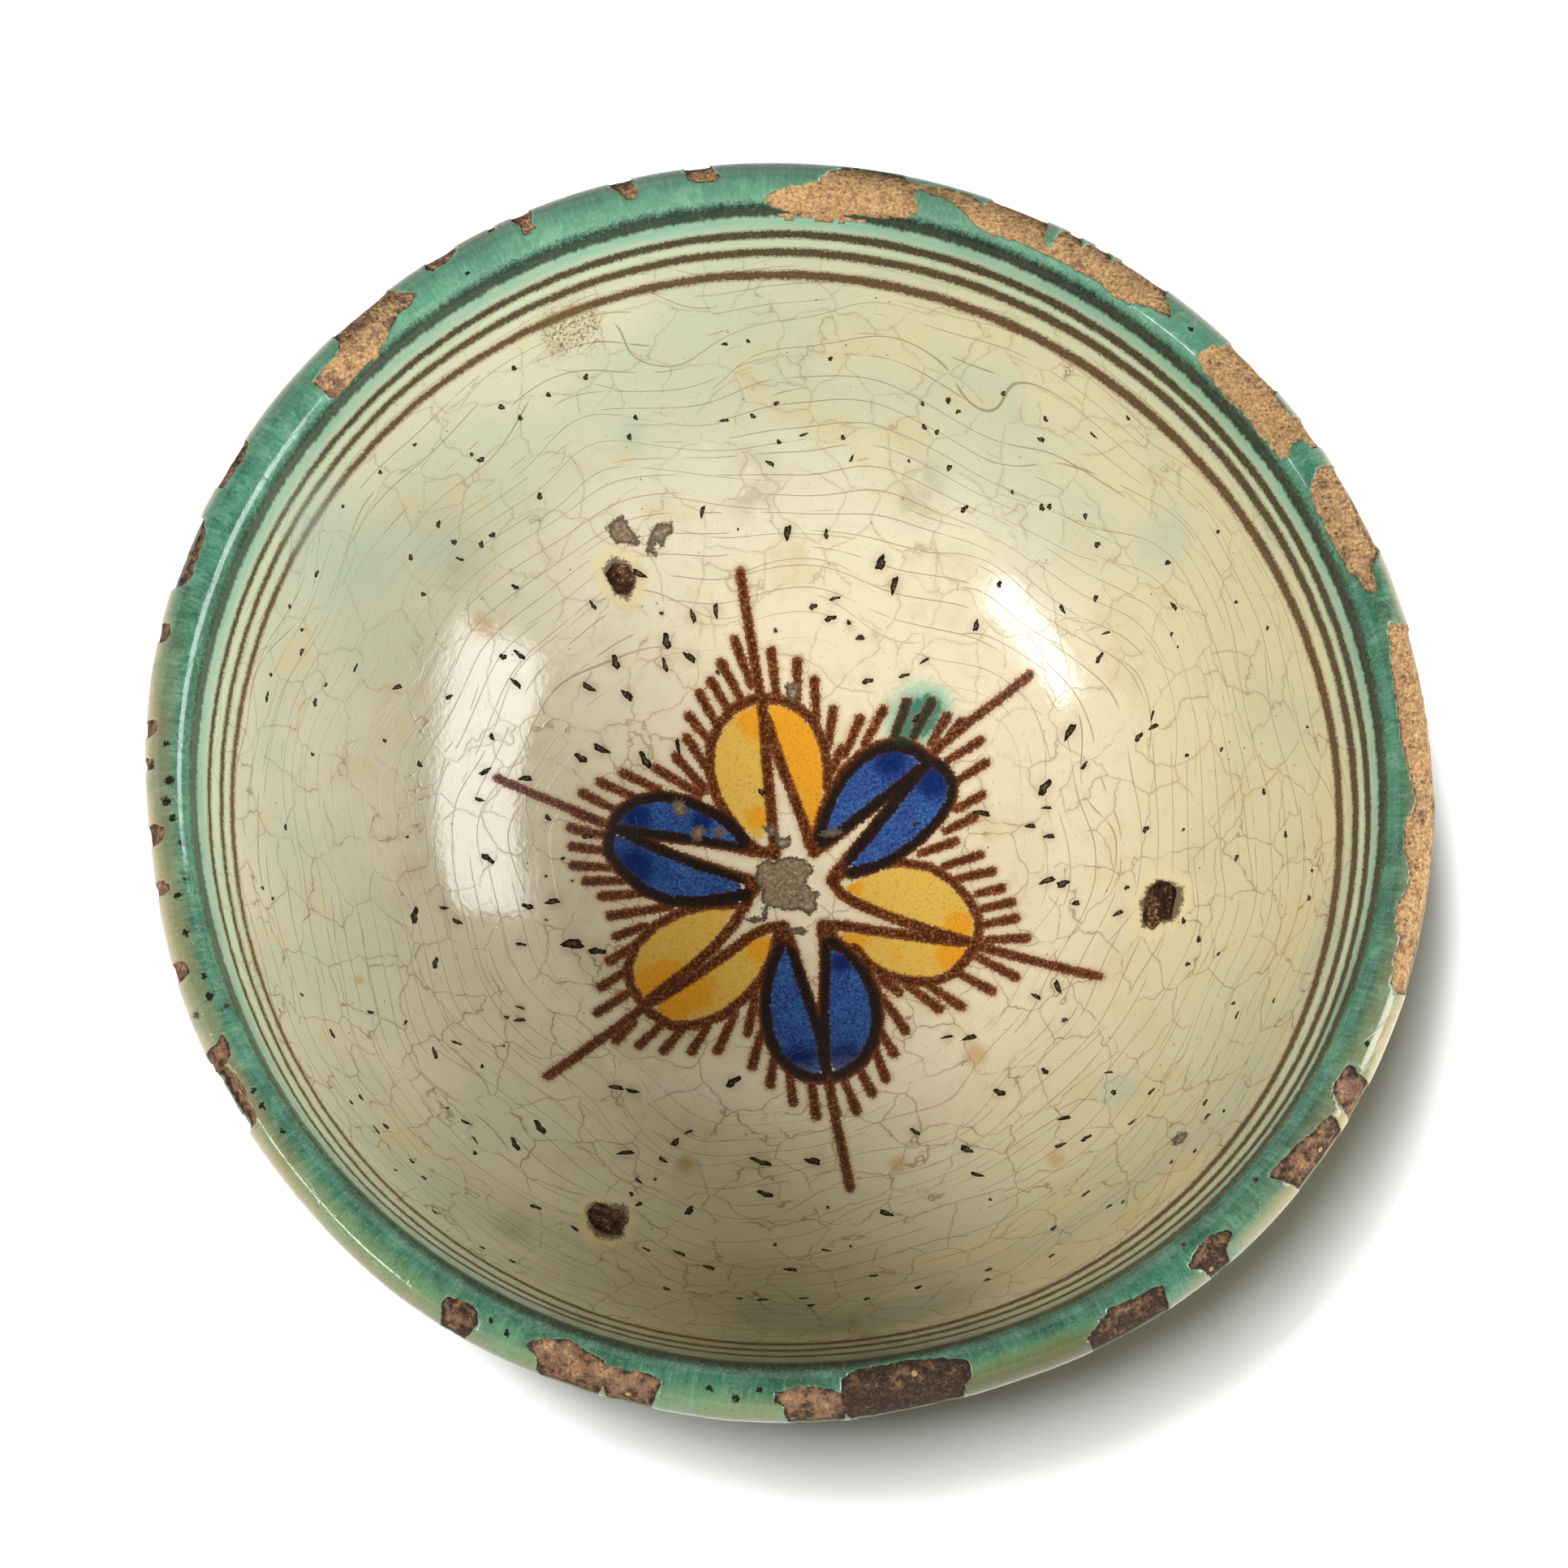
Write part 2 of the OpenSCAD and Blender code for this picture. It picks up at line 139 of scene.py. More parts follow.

# Brown brush strokes of the rosette, read in millimetres to the right and to the back of the bowl's axis:
# the width of the stroke, and the points that the brush went through.
STROKES = [
    (2.4, [(-2.8, 5.4), (-3.5, 12), (-4.2, 20), (-4.9, 28), (-5.5, 36), (-6.1, 42)]),
    (2.4, [(5.2, 8.2), (3.7, 13.2), (1.7, 18.6), (-0.8, 25), (-3.0, 31), (-4.9, 37)]),
    (2.2, [(-6.0, 40), (-7.2, 47), (-8.6, 55), (-11.0, 68.5)]),
    (2.2, [(-10.0, 9.6), (-13.5, 14), (-16.6, 19), (-18.2, 25), (-18.0, 31), (-15.8, 36), (-12.5, 39.3),
        (-8.5, 41.3), (-5.5, 41.8)]),
    (2.2, [(-5.5, 41.8), (-1.0, 41.2), (3.2, 39.2), (6.4, 36), (8.5, 31.5), (9.5, 26), (9.4, 21)]),
    (2.6, [(6.2, 6.2), (10.0, 8.9), (15.0, 12.7), (20.0, 16.6), (25.0, 20.2), (30.0, 24)]),
    (2.8, [(14.0, 4.4), (18.0, 9), (22.0, 13.8), (26.0, 18.6), (30.0, 23.4), (32.5, 26)]),
    (2.1, [(32.0, 26), (36.0, 30), (43.0, 35.2), (50.0, 39.5), (56.0, 43.6)]),
    (3.2, [(7.2, 10), (8.6, 15.5), (10.5, 20), (13.5, 24.8), (17.3, 28.4), (21.5, 30.3), (26.0, 30.8), (30.0, 29.3),
        (33.0, 27)]),
    (2.4, [(15.0, 0.8), (20.0, 2), (25.5, 4.6), (31.0, 8.4), (35.5, 12.8), (38.2, 17.2), (38.7, 20.8), (37.0, 24),
        (34.0, 26.5)]),
    (2.4, [(10.2, -0.6), (12.5, -3.8), (17.0, -6.6), (23.0, -9.4), (30.0, -12.3), (37.0, -15), (43.0, -17.3)]),
    (2.4, [(8.2, -11.2), (13.0, -11.6), (19.0, -12.7), (26.0, -14), (33.0, -15.4), (40.0, -16.8)]),
    (2.1, [(42.0, -17.2), (48.0, -19.6), (56.0, -22.6), (64.0, -25.8), (71.0, -28.6)]),
    (2.0, [(10.4, -0.4), (14.0, 1.2), (20.0, 2.6), (27.0, 3.2), (33.0, 1.8), (38.0, -1.6), (42.0, -6.4),
        (44.2, -11.4), (44.2, -16)]),
    (2.3, [(15.5, -17), (18.5, -20.8), (22.5, -23.8), (28.0, -25.6), (33.5, -26.2), (38.0, -24.6), (41.0, -21.4),
        (43.2, -18)]),
    (2.6, [(-0.8, -11.6), (0.8, -16), (2.6, -22), (4.4, -28), (6.4, -34), (8.0, -40), (8.8, -46)]),
    (2.5, [(8.0, -11.4), (8.6, -16), (8.7, -22), (8.4, -28), (8.3, -34), (8.6, -40)]),
    (2.1, [(8.9, -46), (9.8, -52), (11.0, -60), (12.6, -69), (14.2, -77.9)]),
    (2.8, [(-1.6, -15.5), (-3.6, -20), (-5.0, -26), (-5.4, -32), (-4.6, -38), (-2.4, -43.4), (1.0, -47.4),
        (5.0, -49.4), (8.8, -49.6)]),
    (3.0, [(10.5, -15), (14.5, -18), (18.0, -22.6), (20.4, -28.4), (21.0, -34.4), (20.0, -40.4), (17.2, -45.4),
        (13.0, -48.6), (8.8, -49.6)]),
    (2.4, [(-9.6, -6.2), (-12.4, -11), (-16.6, -16.4), (-22.0, -21.8), (-28.0, -27), (-33.0, -31.4)]),
    (2.4, [(-1.2, -11.4), (-5.0, -12), (-9.4, -14.6), (-14.5, -18.8), (-20.0, -23), (-26.0, -27.4), (-32.0, -31.6)]),
    (2.2, [(-32.0, -31.4), (-37.0, -36), (-43.0, -41.2), (-49.0, -46.6), (-54.4, -51.4)]),
    (2.1, [(-12.5, -6.4), (-18.0, -6.6), (-24.5, -8.4), (-30.5, -12), (-35.0, -17), (-36.9, -22.4), (-36.2, -27.4),
        (-33.5, -31.5)]),
    (2.3, [(-2.0, -12.6), (-3.2, -18), (-5.4, -23.6), (-9.6, -29), (-14.6, -33.4), (-20.6, -36.2), (-26.6, -36.6),
        (-32.0, -33.6)]),
    (2.5, [(-3.5, 6), (-7.5, 6.3), (-13.0, 7.4), (-19.0, 8.4), (-26.0, 9), (-33.0, 9.6), (-40.0, 10.2)]),
    (2.6, [(-6.6, -1.4), (-10.0, -0.2), (-15.0, 1.4), (-21.0, 3.2), (-27.0, 5.2), (-33.0, 7.6), (-38.0, 9.8)]),
    (2.0, [(-40.0, 10.4), (-46.0, 12.6), (-53.0, 14.9), (-60.0, 17), (-66.8, 19.2)]),
    (2.6, [(-9.4, 8.2), (-12.6, 12), (-17.4, 15.4), (-23.4, 18), (-29.6, 18.8), (-35.4, 17.4), (-39.4, 14.4),
        (-41.2, 10.6)]),
    (2.7, [(-8.6, -3.6), (-14.0, -4.9), (-20.6, -6.1), (-27.0, -6.2), (-33.0, -4), (-38.4, 0.2), (-41.8, 4.6),
        (-41.6, 8.6)]),
    (2.4, [(-10.0, 9.2), (-7.0, 6.6), (-3.2, 5.6)]),
    (2.2, [(5.0, 8.4), (6.6, 6.4), (8.5, 7.8)]),
    (2.4, [(14.2, 4.6), (11.0, 1), (10.4, -0.6)]),
    (2.4, [(8.2, -11.2), (9.6, -12.5), (10.8, -15)]),
    (2.4, [(-1.2, -11.4), (-1.4, -14)]),
    (2.4, [(-6.8, -1.6), (-8.6, -4), (-9.6, -6.4)]),
]

# The short lashes round the petals: root and tip of each stroke
LASHES = [
    (-19, 20.5, -26, 27.8), (-18.5, 25, -23.5, 32.3), (-17.5, 31, -23, 37.2), (-16, 34.5, -20.5, 42.3),
    (-13.5, 38.5, -17.8, 45.2), (-10.5, 41, -15.5, 49.2), (-8.5, 44.5, -12.3, 54.3), (-2.6, 42.5, -3.8, 52),
    (2.3, 41, 2.3, 49.8), (6.8, 36.5, 6.3, 45.6), (9.6, 31, 10.7, 39), (10.4, 25, 12.6, 30.2), (13.5, 29, 17, 36.8),
    (18, 31, 22.4, 38.6), (25, 32.5, 27.8, 40.1), (29.5, 32.5, 33.5, 39.5), (33.5, 30.5, 37.2, 36.3),
    (36, 29.8, 40.4, 34.8), (37, 26.2, 44.8, 30.2), (39.2, 21.4, 46, 25), (39.4, 15, 45.2, 17.8),
    (36.8, 10, 43.5, 12.9), (31, 5.2, 39, 7.4), (36.5, 1.8, 44.6, 3.8), (40, -1.4, 47.4, -0.4),
    (44, -5.4, 49.6, -4.6), (44.8, -9.2, 51.8, -8.1), (45.4, -13, 52.6, -12.1), (46, -16.8, 55, -17.1),
    (43.4, -20.4, 52.4, -26.4), (39.6, -24.4, 47, -29.4), (33, -27.2, 40, -32.7), (27.5, -26.5, 35, -32.9),
    (21.5, -24.8, 25.8, -28.4), (22, -29.5, 27.2, -37.9), (21, -37, 24.5, -43.6), (19.6, -41, 22.6, -49.8),
    (16.6, -47.4, 19.4, -53.4), (13, -50, 15.8, -57.8), (5.4, -50, 6.6, -59), (0.4, -48.4, 1.3, -55.4),
    (-3.2, -44.5, -4, -50.9), (-6, -37.6, -8.1, -46.3), (-7.4, -28.6, -9.2, -38), (-12, -33, -16, -42.4),
    (-18.4, -36.4, -22, -42.9), (-24, -37.2, -28.4, -42.9), (-29, -36.6, -34, -41.9), (-35.4, -36.4, -39.4, -41),
    (-36, -28.6, -43.6, -34.4), (-36.8, -23.4, -43, -28), (-35.4, -17.2, -41, -21.5), (-33, -12.4, -39.6, -15.4),
    (-27, -7.4, -41, -10.5), (-32.6, -4.4, -43, -5.9), (-38, -1.8, -46.6, -2.6), (-41.6, 1, -49.6, 0.9),
    (-43, 5, -49.8, 5.3), (-42.6, 8.6, -50.2, 9.6), (-42, 11, -49.2, 13.4), (-40.8, 15, -47.6, 18),
    (-36, 18.2, -43.6, 20.9), (-30, 20, -38.2, 23.4), (-20.4, 19.4, -30.6, 25), (9.6, -51, 11, -58.6),
]
LASH_ROOT_W = 2.0
LASH_TIP_W = 2.5
STROKE_SPREAD = 0.25  # the paint has run this much wider than the stroke

# Outlines of the yellow and blue halves of the petals
YELLOW_FIELDS = [
    [(-6.4, 9.4), (-9.4, 11.4), (-12.4, 14.6), (-15, 18.6), (-16.8, 23.4), (-17, 28), (-15.8, 32.4), (-13.4, 36),
        (-10.2, 38.6), (-7, 39.8), (-6.4, 36), (-5.9, 29), (-5.4, 21), (-4.8, 13.5)],
    [(6.2, 11), (7.2, 16), (8, 21.4), (8, 26.4), (7, 31), (5, 35.2), (2, 38.2), (-1.6, 39.8), (-4.2, 40), (-3.6, 36),
        (-1.6, 30.6), (0.4, 25), (2.8, 19), (4.8, 13.8)],
    [(14, -2.6), (17.4, -0.6), (22.4, 1.2), (28, 1.8), (33, 0.4), (37.4, -3), (41, -7.8), (43, -12.6), (42.8, -15.8),
        (37.6, -13.8), (30.6, -11.1), (23.6, -8.2), (18, -5.4)],
    [(12.4, -13.6), (15.6, -16.6), (19.4, -20.2), (24, -23), (29.6, -24.7), (34.6, -24.4), (38.4, -22.2),
        (41.2, -18.6), (36, -17.2), (28, -15.6), (20, -14.2)],
    [(-13, -7.4), (-18.2, -7.8), (-24, -9.6), (-29.6, -13), (-33.6, -17.6), (-35.4, -22.4), (-34.8, -26.8),
        (-33.2, -29.8), (-28.6, -26), (-22.6, -20.8), (-17.2, -15.2)],
    [(-4.2, -14.2), (-4.4, -18), (-6.6, -23.2), (-10.6, -28.2), (-15.2, -32.2), (-20.8, -34.8), (-26.4, -35.2),
        (-30.2, -32.6), (-25.4, -28.4), (-19, -23.9), (-13.2, -19.5), (-8.4, -15.6)],
]
BLUE_FIELDS = [
    [(8.2, 9.4), (10, 14.6), (12.2, 19.4), (15.4, 24), (19.2, 27.6), (23.4, 29.4), (27.6, 29.2), (31, 27),
        (29, 24.4), (24, 20.6), (19, 16.9), (13.8, 13)],
    [(15.4, 2.2), (20.4, 3.4), (26, 6.2), (31, 9.8), (35, 14.2), (37.2, 18.4), (37.2, 21.6), (35.4, 24.4),
        (33, 25.6), (29.6, 21.4), (25.4, 16.6), (21, 11.4), (17, 6.6)],
    [(-1, -17.4), (-3, -22.6), (-4, -28.6), (-4, -34.6), (-2.8, -39.8), (-0.4, -44), (3, -47), (7, -48),
        (7.4, -43.4), (6, -37), (4, -30.4), (2, -23.8), (0.3, -18.6)],
    [(10, -16.4), (13.2, -19.4), (16.8, -23.6), (19.2, -29), (19.7, -34.8), (18.6, -40.4), (15.8, -44.8),
        (11.6, -47.4), (9.8, -44), (9.6, -38), (9.7, -30), (9.9, -23)],
    [(-10.8, 8.8), (-14, 12.2), (-18.6, 14.9), (-24, 17), (-29.6, 17.6), (-34.6, 16.2), (-38.4, 13.4), (-39.4, 11.3),
        (-33, 10.8), (-26, 10.2), (-18.4, 9.6)],
    [(-10.4, -3.8), (-15.6, -4.6), (-22, -5.2), (-28, -4.9), (-33.6, -2.4), (-38, 1.6), (-40.6, 5.4), (-40.4, 8.2),
        (-36.8, 8), (-31, 5.6), (-24.6, 3), (-18, 0.9), (-12.4, -1.2)],
]

# Places where the glaze has flaked off to the clay: their outlines
FLAKES = [
    [(-7.5, 0), (-7, 3), (-5.2, 4.5), (-3, 3.8), (-2, 4.7), (1, 5.2), (4, 4.6), (5.6, 3), (6.2, 1.6), (4.6, 0.5),
        (4.4, -1), (5.6, -2.8), (7.6, -3.6), (6.5, -5), (6.9, -7.5), (5, -8.8), (3.4, -7.6), (0.5, -7.6), (-3, -7),
        (-5, -6.5), (-6.4, -4.5), (-5.6, -3), (-6.9, -1.5)],
    [(-0.4, -11.9), (3, -11.8), (5, -12.4), (4, -13.4), (0.4, -13.3)],
    [(-10.6, -9.8), (-8, -9.4), (-5.6, -9.6), (-5.9, -7), (-4.6, -7), (-4.9, -10.2), (-8, -10.8)],
    [(-2.8, 9.6), (0.6, 10), (0.6, 7.6), (-1.4, 6.8), (-2.6, 7.8)],
    [(-6, 12.4), (-3, 12.6), (-2, 10.6), (-4, 10)],
    [(7.4, 11), (11, 11.6), (13.4, 11), (11, 10), (8, 10)],
    [(-0.6, 45), (2.8, 45.2), (2.4, 42), (1.4, 41), (0, 42)],
    [(-26.4, 18), (-24.2, 17.8), (-23.4, 15), (-25, 14), (-26.6, 15.4)],
    [(-22.4, 11), (-20, 12.4), (-19.2, 11), (-20.6, 8.6), (-22, 8.6)],
    [(-17.6, 11.6), (-14.6, 11.4), (-14.6, 10), (-16.6, 10)],
    [(-40, 73), (-42, 76), (-38, 78.5), (-36, 75.6), (-33.4, 74.6), (-34.6, 73), (-37, 73)],
    [(-33.2, 75.4), (-30, 77.4), (-26.6, 78.4), (-26.4, 75.6), (-28.4, 75), (-28.6, 72.6), (-30.6, 74.2)],
    [(-33, 72.4), (-31.6, 73.6), (-30, 72.6), (-30.4, 71), (-32, 71)],
    [(84.8, -74.6), (84.4, -72.6), (86.4, -70.8), (88, -71.2), (87, -73.4)],
]

# Soft spots in the glaze: where the yellow lies thick and orange, where the blue has pooled, and coloured stains;
# place and reach of each
SPOT_FIELDS = {
    "orange": [
        (6, 17, 4.5), (5.6, 24, 6), (3.6, 31, 6), (-0.6, 36, 5), (-8, 36, 4), (-7, 14, 3), (39.6, -12.6, 4),
        (38, -20, 4.5), (15, -2.8, 3), (15, -14.6, 4), (-31.4, -26.6, 5), (-28, -24, 4), (-26.4, -31.6, 5),
        (-21, -28.4, 4), (-6, -16.6, 4),
    ],
    "pool": [
        (24, 27, 5.5), (34, 21.5, 5.5), (-35, 2, 6), (-35, 13.6, 4.5), (-20, 13, 3.5), (3, -45, 6), (13, -44, 5),
        (12.5, -20.5, 3.5),
    ],
    "green_stain": [
        (30.5, 36.5, 8), (27.5, 33.5, 5), (33, 38.5, 5.5),
    ],
    "ochre_stain": [
        (-70, 52, 4), (-95.8, -34.3, 1.6), (43, -45, 4), (-23, -72, 3.5), (25, -72, 3), (60, -73.5, 3),
    ],
    "dirt_stain": [
        (-52, 108.5, 5), (-46, 110, 6), (63.2, 100.2, 1.6), (-55.5, 42, 7), (-76.5, 63, 1.8), (-60, -92, 6),
        (30, 84, 9), (-8, 86, 9), (14.5, 57, 2), (20, 55, 2.4),
    ],
    "blue_stain": [
        (74, -57.5, 6), (-36, 94, 4), (18.5, -48, 1.6), (85, 66, 8), (-78, 66, 10), (-100, 60, 14),
    ],
}

# Burst bubbles in the glaze: place, length, and the direction of the long way where it isn't towards
# the rosette
PITS = [
    (-61.8, 101.8, 1.5), (-54.5, 99, 1.3), (-46, 103.2, 1.5), (-65, 95, 1.6), (-61, 94, 1.4), (-72, 85.5, 1.1),
    (-70, 85, 1.7), (-57.2, 80.5, 1.6), (-84, 84, 1.1), (-91.5, 77, 1.2), (-79.8, 71, 1.5), (-68, 71.3, 1.5),
    (-70.5, 69, 1.5), (-76.5, 68.3, 1.5), (-75.3, 65.2, 2.1), (-86, 63.1, 1.4), (-63, 61.6, 1.9), (-45.2, 59.8, 2.4),
    (-99.5, 68.3, 1), (-83.5, 56.4, 1.3), (-105.5, 53.8, 1.5, 40), (-62, 47.3, 3.2), (-65.8, 46.4, 1.7),
    (-40, 48, 3.2), (-46.2, 42, 3.2), (-62.8, 41, 3.3), (-111, 45.3, 1.1), (-108.8, 41.7, 1.1), (-109, 37.2, 1.5, 80),
    (-98.2, 37.4, 2, 60), (-89.3, 35.6, 2.3, 10), (-78, 35.7, 1.9, 5), (-104.3, 32, 1.1), (-115, 30, 1.1),
    (-106.5, 27.5, 1.7, 80), (-115.8, 25, 2.2, 80), (-68.3, 28.4, 1.5), (-43.4, 28.5, 3.6), (-48, 26, 3),
    (-84.4, 19.5, 1.5), (-69.8, 20.3, 3.2, 20), (-60.5, 20, 2.8, 5), (-107, 16, 1.1), (-71, 13.7, 2.4, -15),
    (-55.5, 11.5, 1.5), (-46.5, 8, 2.2, 0), (-69, 0.3, 3.2, -25), (-86.8, 2.3, 0.9), (-52, 2.3, 1), (-92, 23.2, 1.1),
    (-35, 97.6, 1.3), (-36.5, 94, 1.5), (-14.5, 98.3, 1.9, 5), (-8, 99.2, 1.4), (-2.6, 101.5, 1.3, 0),
    (-14.3, 111.2, 1.3, 0), (-9, 111.8, 1.1), (9.8, 108.8, 1.2), (3.7, 95.8, 2, 20), (-2, 94.5, 1.2), (12.8, 95, 1.2),
    (-4, 90.5, 2.2, 130), (14.8, 91, 1.9), (30.9, 99.8, 1.1), (36.7, 99.8, 1.5), (39, 97.6, 1.2), (31.4, 95.7, 1.4),
    (34.3, 94.5, 1.3), (37.2, 87.7, 1.5), (28, 89.8, 0.8), (-19.8, 80.8, 2.6, 88), (0, 77, 3.2, 86), (9, 76.5, 2.2),
    (-11.5, 77.5, 0.6), (-34.5, 67.3, 3.2, 150), (21.7, 70.2, 3.6), (24.8, 65.5, 3.8), (11, 63.2, 2.4, 15),
    (6, 61.6, 1.7, 15), (10, 59, 2.5, 15), (-22, 59, 3.2), (-16.7, 60.5, 3.2), (-29.3, 59.3, 1), (-2.8, 56.5, 1),
    (17, 54.7, 1.7, 15), (14.3, 58, 1.1), (-28.2, 53.4, 3.5), (-22.8, 50.2, 3.4), (-28.6, 48.2, 3.2),
    (-37.3, 41, 3.2), (-16.3, 47.2, 1.1), (32, 49, 2.2, 35), (27.2, 46, 2.4, 15), (18.7, 45.2, 2.4, 10),
    (30, 36.3, 2.2), (-25.6, 30.4, 3.2, 105), (-33.2, 26.7, 4.2), (-6, 20.3, 1.7), (30, 12, 1.9, 0), (49, 99.3, 1.3),
    (58.6, 93.4, 1.4), (57.8, 90, 1.6, 130), (69.2, 88.5, 1.9, 130), (76.5, 89.5, 1.2), (40.8, 79.5, 2.2),
    (51.6, 81.4, 1), (58.3, 77.5, 1.6), (60, 77.4, 1.4), (68, 74.2, 1.4), (70.8, 68.2, 1.6), (49, 63.6, 1.5),
    (43.8, 55.5, 2.7, 60), (63.3, 56.6, 2, 115), (70.7, 57.6, 1.5), (86.2, 61.3, 1.5), (87.8, 52.3, 2.2, 115),
    (87.4, 46.8, 1), (73.2, 50, 2), (71.7, 45, 2.8), (88.8, 43.8, 0.6), (65.2, 30, 3.8, 50), (83.5, 30.5, 2.2, 60),
    (83.8, 27.9, 2.5, 20), (80.5, 26.2, 2.4, 30), (68.4, 21.8, 2.2), (91, 20, 1.1), (98.3, 19.5, 1.1),
    (59.5, 18, 3.9, 40), (60, 13.3, 2.2, 0), (45.3, 13.6, 3.6, -10), (56.3, 9.5, 2.2, 0), (60.5, 6.6, 2.4, 0),
    (82, 5, 1.7), (107, 7.5, 1.4, 90), (90.2, 3.3, 0.9), (96.5, 64, 1.1), (100.8, 49.4, 1.1), (107.3, 42, 1.1),
    (115.5, 18.5, 0.8), (-112, -2.3, 1.3, 75), (-54.2, -8.2, 3.5), (-59.8, -10, 2.6), (-84.8, -16, 3.8, 65),
    (-78.5, -13, 2.4, 0), (-75.5, -15.8, 2.6, -15), (-49.5, -18, 4.6, 10), (-44, -19.3, 3.8, 0),
    (-61.2, -19.3, 2.4, 0), (-55.8, -2.3, 0.7), (-55.6, -12.8, 0.7), (-49.8, -2.8, 0.7), (-115.8, -18.3, 1.1),
    (-113.8, -20, 1), (-80, -26.7, 2.8, 60), (-61, -34.9, 2, 0), (-61, -38, 2.6, 20), (-64, -37.7, 1.1),
    (-93.2, -41.7, 1.8), (-85.8, -42.6, 1.8), (-107, -41.5, 1), (-100.5, -49.3, 2, 115), (-79.3, -49.2, 3, 85),
    (-74.8, -45.7, 2.4, 0), (-69, -50.8, 1.1), (-64.4, -45, 0.6), (-76, -62.7, 1), (-72, -65.7, 2.4, -10),
    (-55.8, -64.7, 3.6, 110), (-61, -69.8, 3.4, 95), (-69.7, -70, 1.9, 110), (-69.5, -73.4, 1.3),
    (-93.8, -64, 1.3, 120), (-95.5, -66, 1.1, 120), (-90, -71.8, 2.2, 120), (-88.2, -70.3, 1.5, 125),
    (-82.3, -78.3, 1.3, 130), (-79.5, -82.2, 1.3, 130), (-85.3, -81.6, 0.9), (-55.8, -85.7, 2.4, 0),
    (-47, -90.5, 2, 110), (-76.5, -91.2, 1.1, 150), (-66, -99, 1.1, 130), (-59.6, -101.6, 1.4, 150),
    (-39, -52.9, 3, 5), (-35.4, -53.6, 3, -10), (-12.5, -50.3, 3.8, 40), (-25.5, -66.2, 2.6, 48),
    (-22.5, -63.4, 2, 40), (-36.5, -69.5, 3.6, 25), (-28.2, -70.8, 2, 140), (-33.5, -76.6, 1.8, 130),
    (-29.8, -76, 0.9), (-35, -80.2, 1.3), (-33.2, -82.7, 1.8), (-22, -83.8, 3.2, 60), (-6, -70.7, 4.8, 150),
    (-5, -79, 3.5, 145), (5.8, -70.5, 3.5, 145), (29, -63.7, 2.8, 130), (36.7, -40, 2.4, 5), (41.8, -40.5, 2.8, 8),
    (22, -84.5, 3.2, 140), (-31.2, -94.7, 2, 125), (-23.8, -95.3, 2.8, 130), (-17.3, -98.8, 2.6, 130),
    (0.7, -99, 2.8, 150), (8.5, -93.9, 2.2, 150), (14, -93, 0.9), (19, -101.2, 1.8, 170), (-26.5, -105.2, 1.5, 170),
    (28.5, -105, 1.5, 10), (-10.5, -107.2, 1.3, 0), (-5.5, -107.4, 2.2, 0), (3.5, -107, 2.2, 0), (5, -109, 1.5, 0),
    (17.3, -107.5, 1.3, 0), (-2.8, -92.3, 1.1), (9, -82.5, 0.9), (60, -3.8, 3.4, 12), (63.4, -5, 3, -5),
    (77.7, -8, 1.3), (66.3, -10, 1.7, 0), (75.7, -13.8, 2.4, 12), (101.3, -6, 1.4, 60), (111.2, -3.7, 1.4, 85),
    (89.9, -18.3, 1.5, 80), (93, -23.5, 1.5, 70), (90.5, -29, 1.3), (97, -28, 1), (115.2, -20.2, 1.3, 80),
    (116, -14, 0.9), (61.8, -29.8, 3.2, 120), (57, -31.7, 2.8, 140), (63.2, -38.3, 1.3), (99.5, -41, 1.1),
    (100, -44.2, 1.8, 60), (107.3, -42.8, 1.1, 70), (58.5, -50.7, 2.2, 130), (48.2, -55, 3, 140), (72.7, -53, 2),
    (73.5, -58.3, 1.6), (81.5, -59.5, 1.8, 20), (62.5, -63.3, 2.8, -8), (77, -66.7, 2.2, 10), (61.2, -70.3, 2.6, -15),
    (67, -69.2, 2.4, 10), (92.2, -64.8, 1.5, 45), (92.3, -68.5, 1.5, 45), (95.6, -68, 0.9), (40.4, -69, 3.2, 140),
    (42.5, -75.8, 3.2, 145), (89, -77, 1.1, 35), (84.2, -78.8, 1.1, 45), (66, -83.8, 2, 25), (70.6, -88, 1.3, 30),
    (73.5, -87.4, 1.1, 30), (45.3, -82.7, 1), (58.5, -92, 1.5, 20), (57.5, -99.5, 1.3, 25), (44, -101.5, 1.4, 15),
    (43.5, -104.3, 1.3, 15),
]

# The broken-off points of the kiln stilt: place, height, and outline about the place
STILT_POINTS = [
    (-39, 66, 0.9, [(-3.6, 1.6), (-1.4, 3.6), (1.8, 3.2), (3.6, 1), (3.2, -1.8), (1.8, -4.2), (-0.6, -3.4),
        (-2, -1.4)]),
    (84.9, -13, 1.5, [(-3.9, 1.4), (-2.4, 4.4), (0.2, 5.4), (2.4, 4), (4.5, 2.6), (4, -0.6), (2.9, -4.8),
        (0.4, -3.9), (-1.6, -5.6), (-4, -4.6)]),
    (-39.8, -87.8, 1.3, [(-4.2, 1.8), (-3, 4.6), (0.4, 4.2), (3.4, 4.6), (4.2, 1.4), (2.8, -0.8), (3.2, -3.4),
        (0.6, -4.4), (-2.4, -4), (-4, -1.6)]),
]

# Where the green has gone olive: angle, spread, and how far in from the outer edge it reaches
OLIVE_SECTORS = [
    (176, 10, 0.5), (194, 13, 0.6), (212, 10, 0.6), (230, 14, 0.8), (248, 9, 0.5), (264, 9, 0.6), (290, 10, 0.7),
    (334, 8, 0.4), (118, 10, 0.3),
]

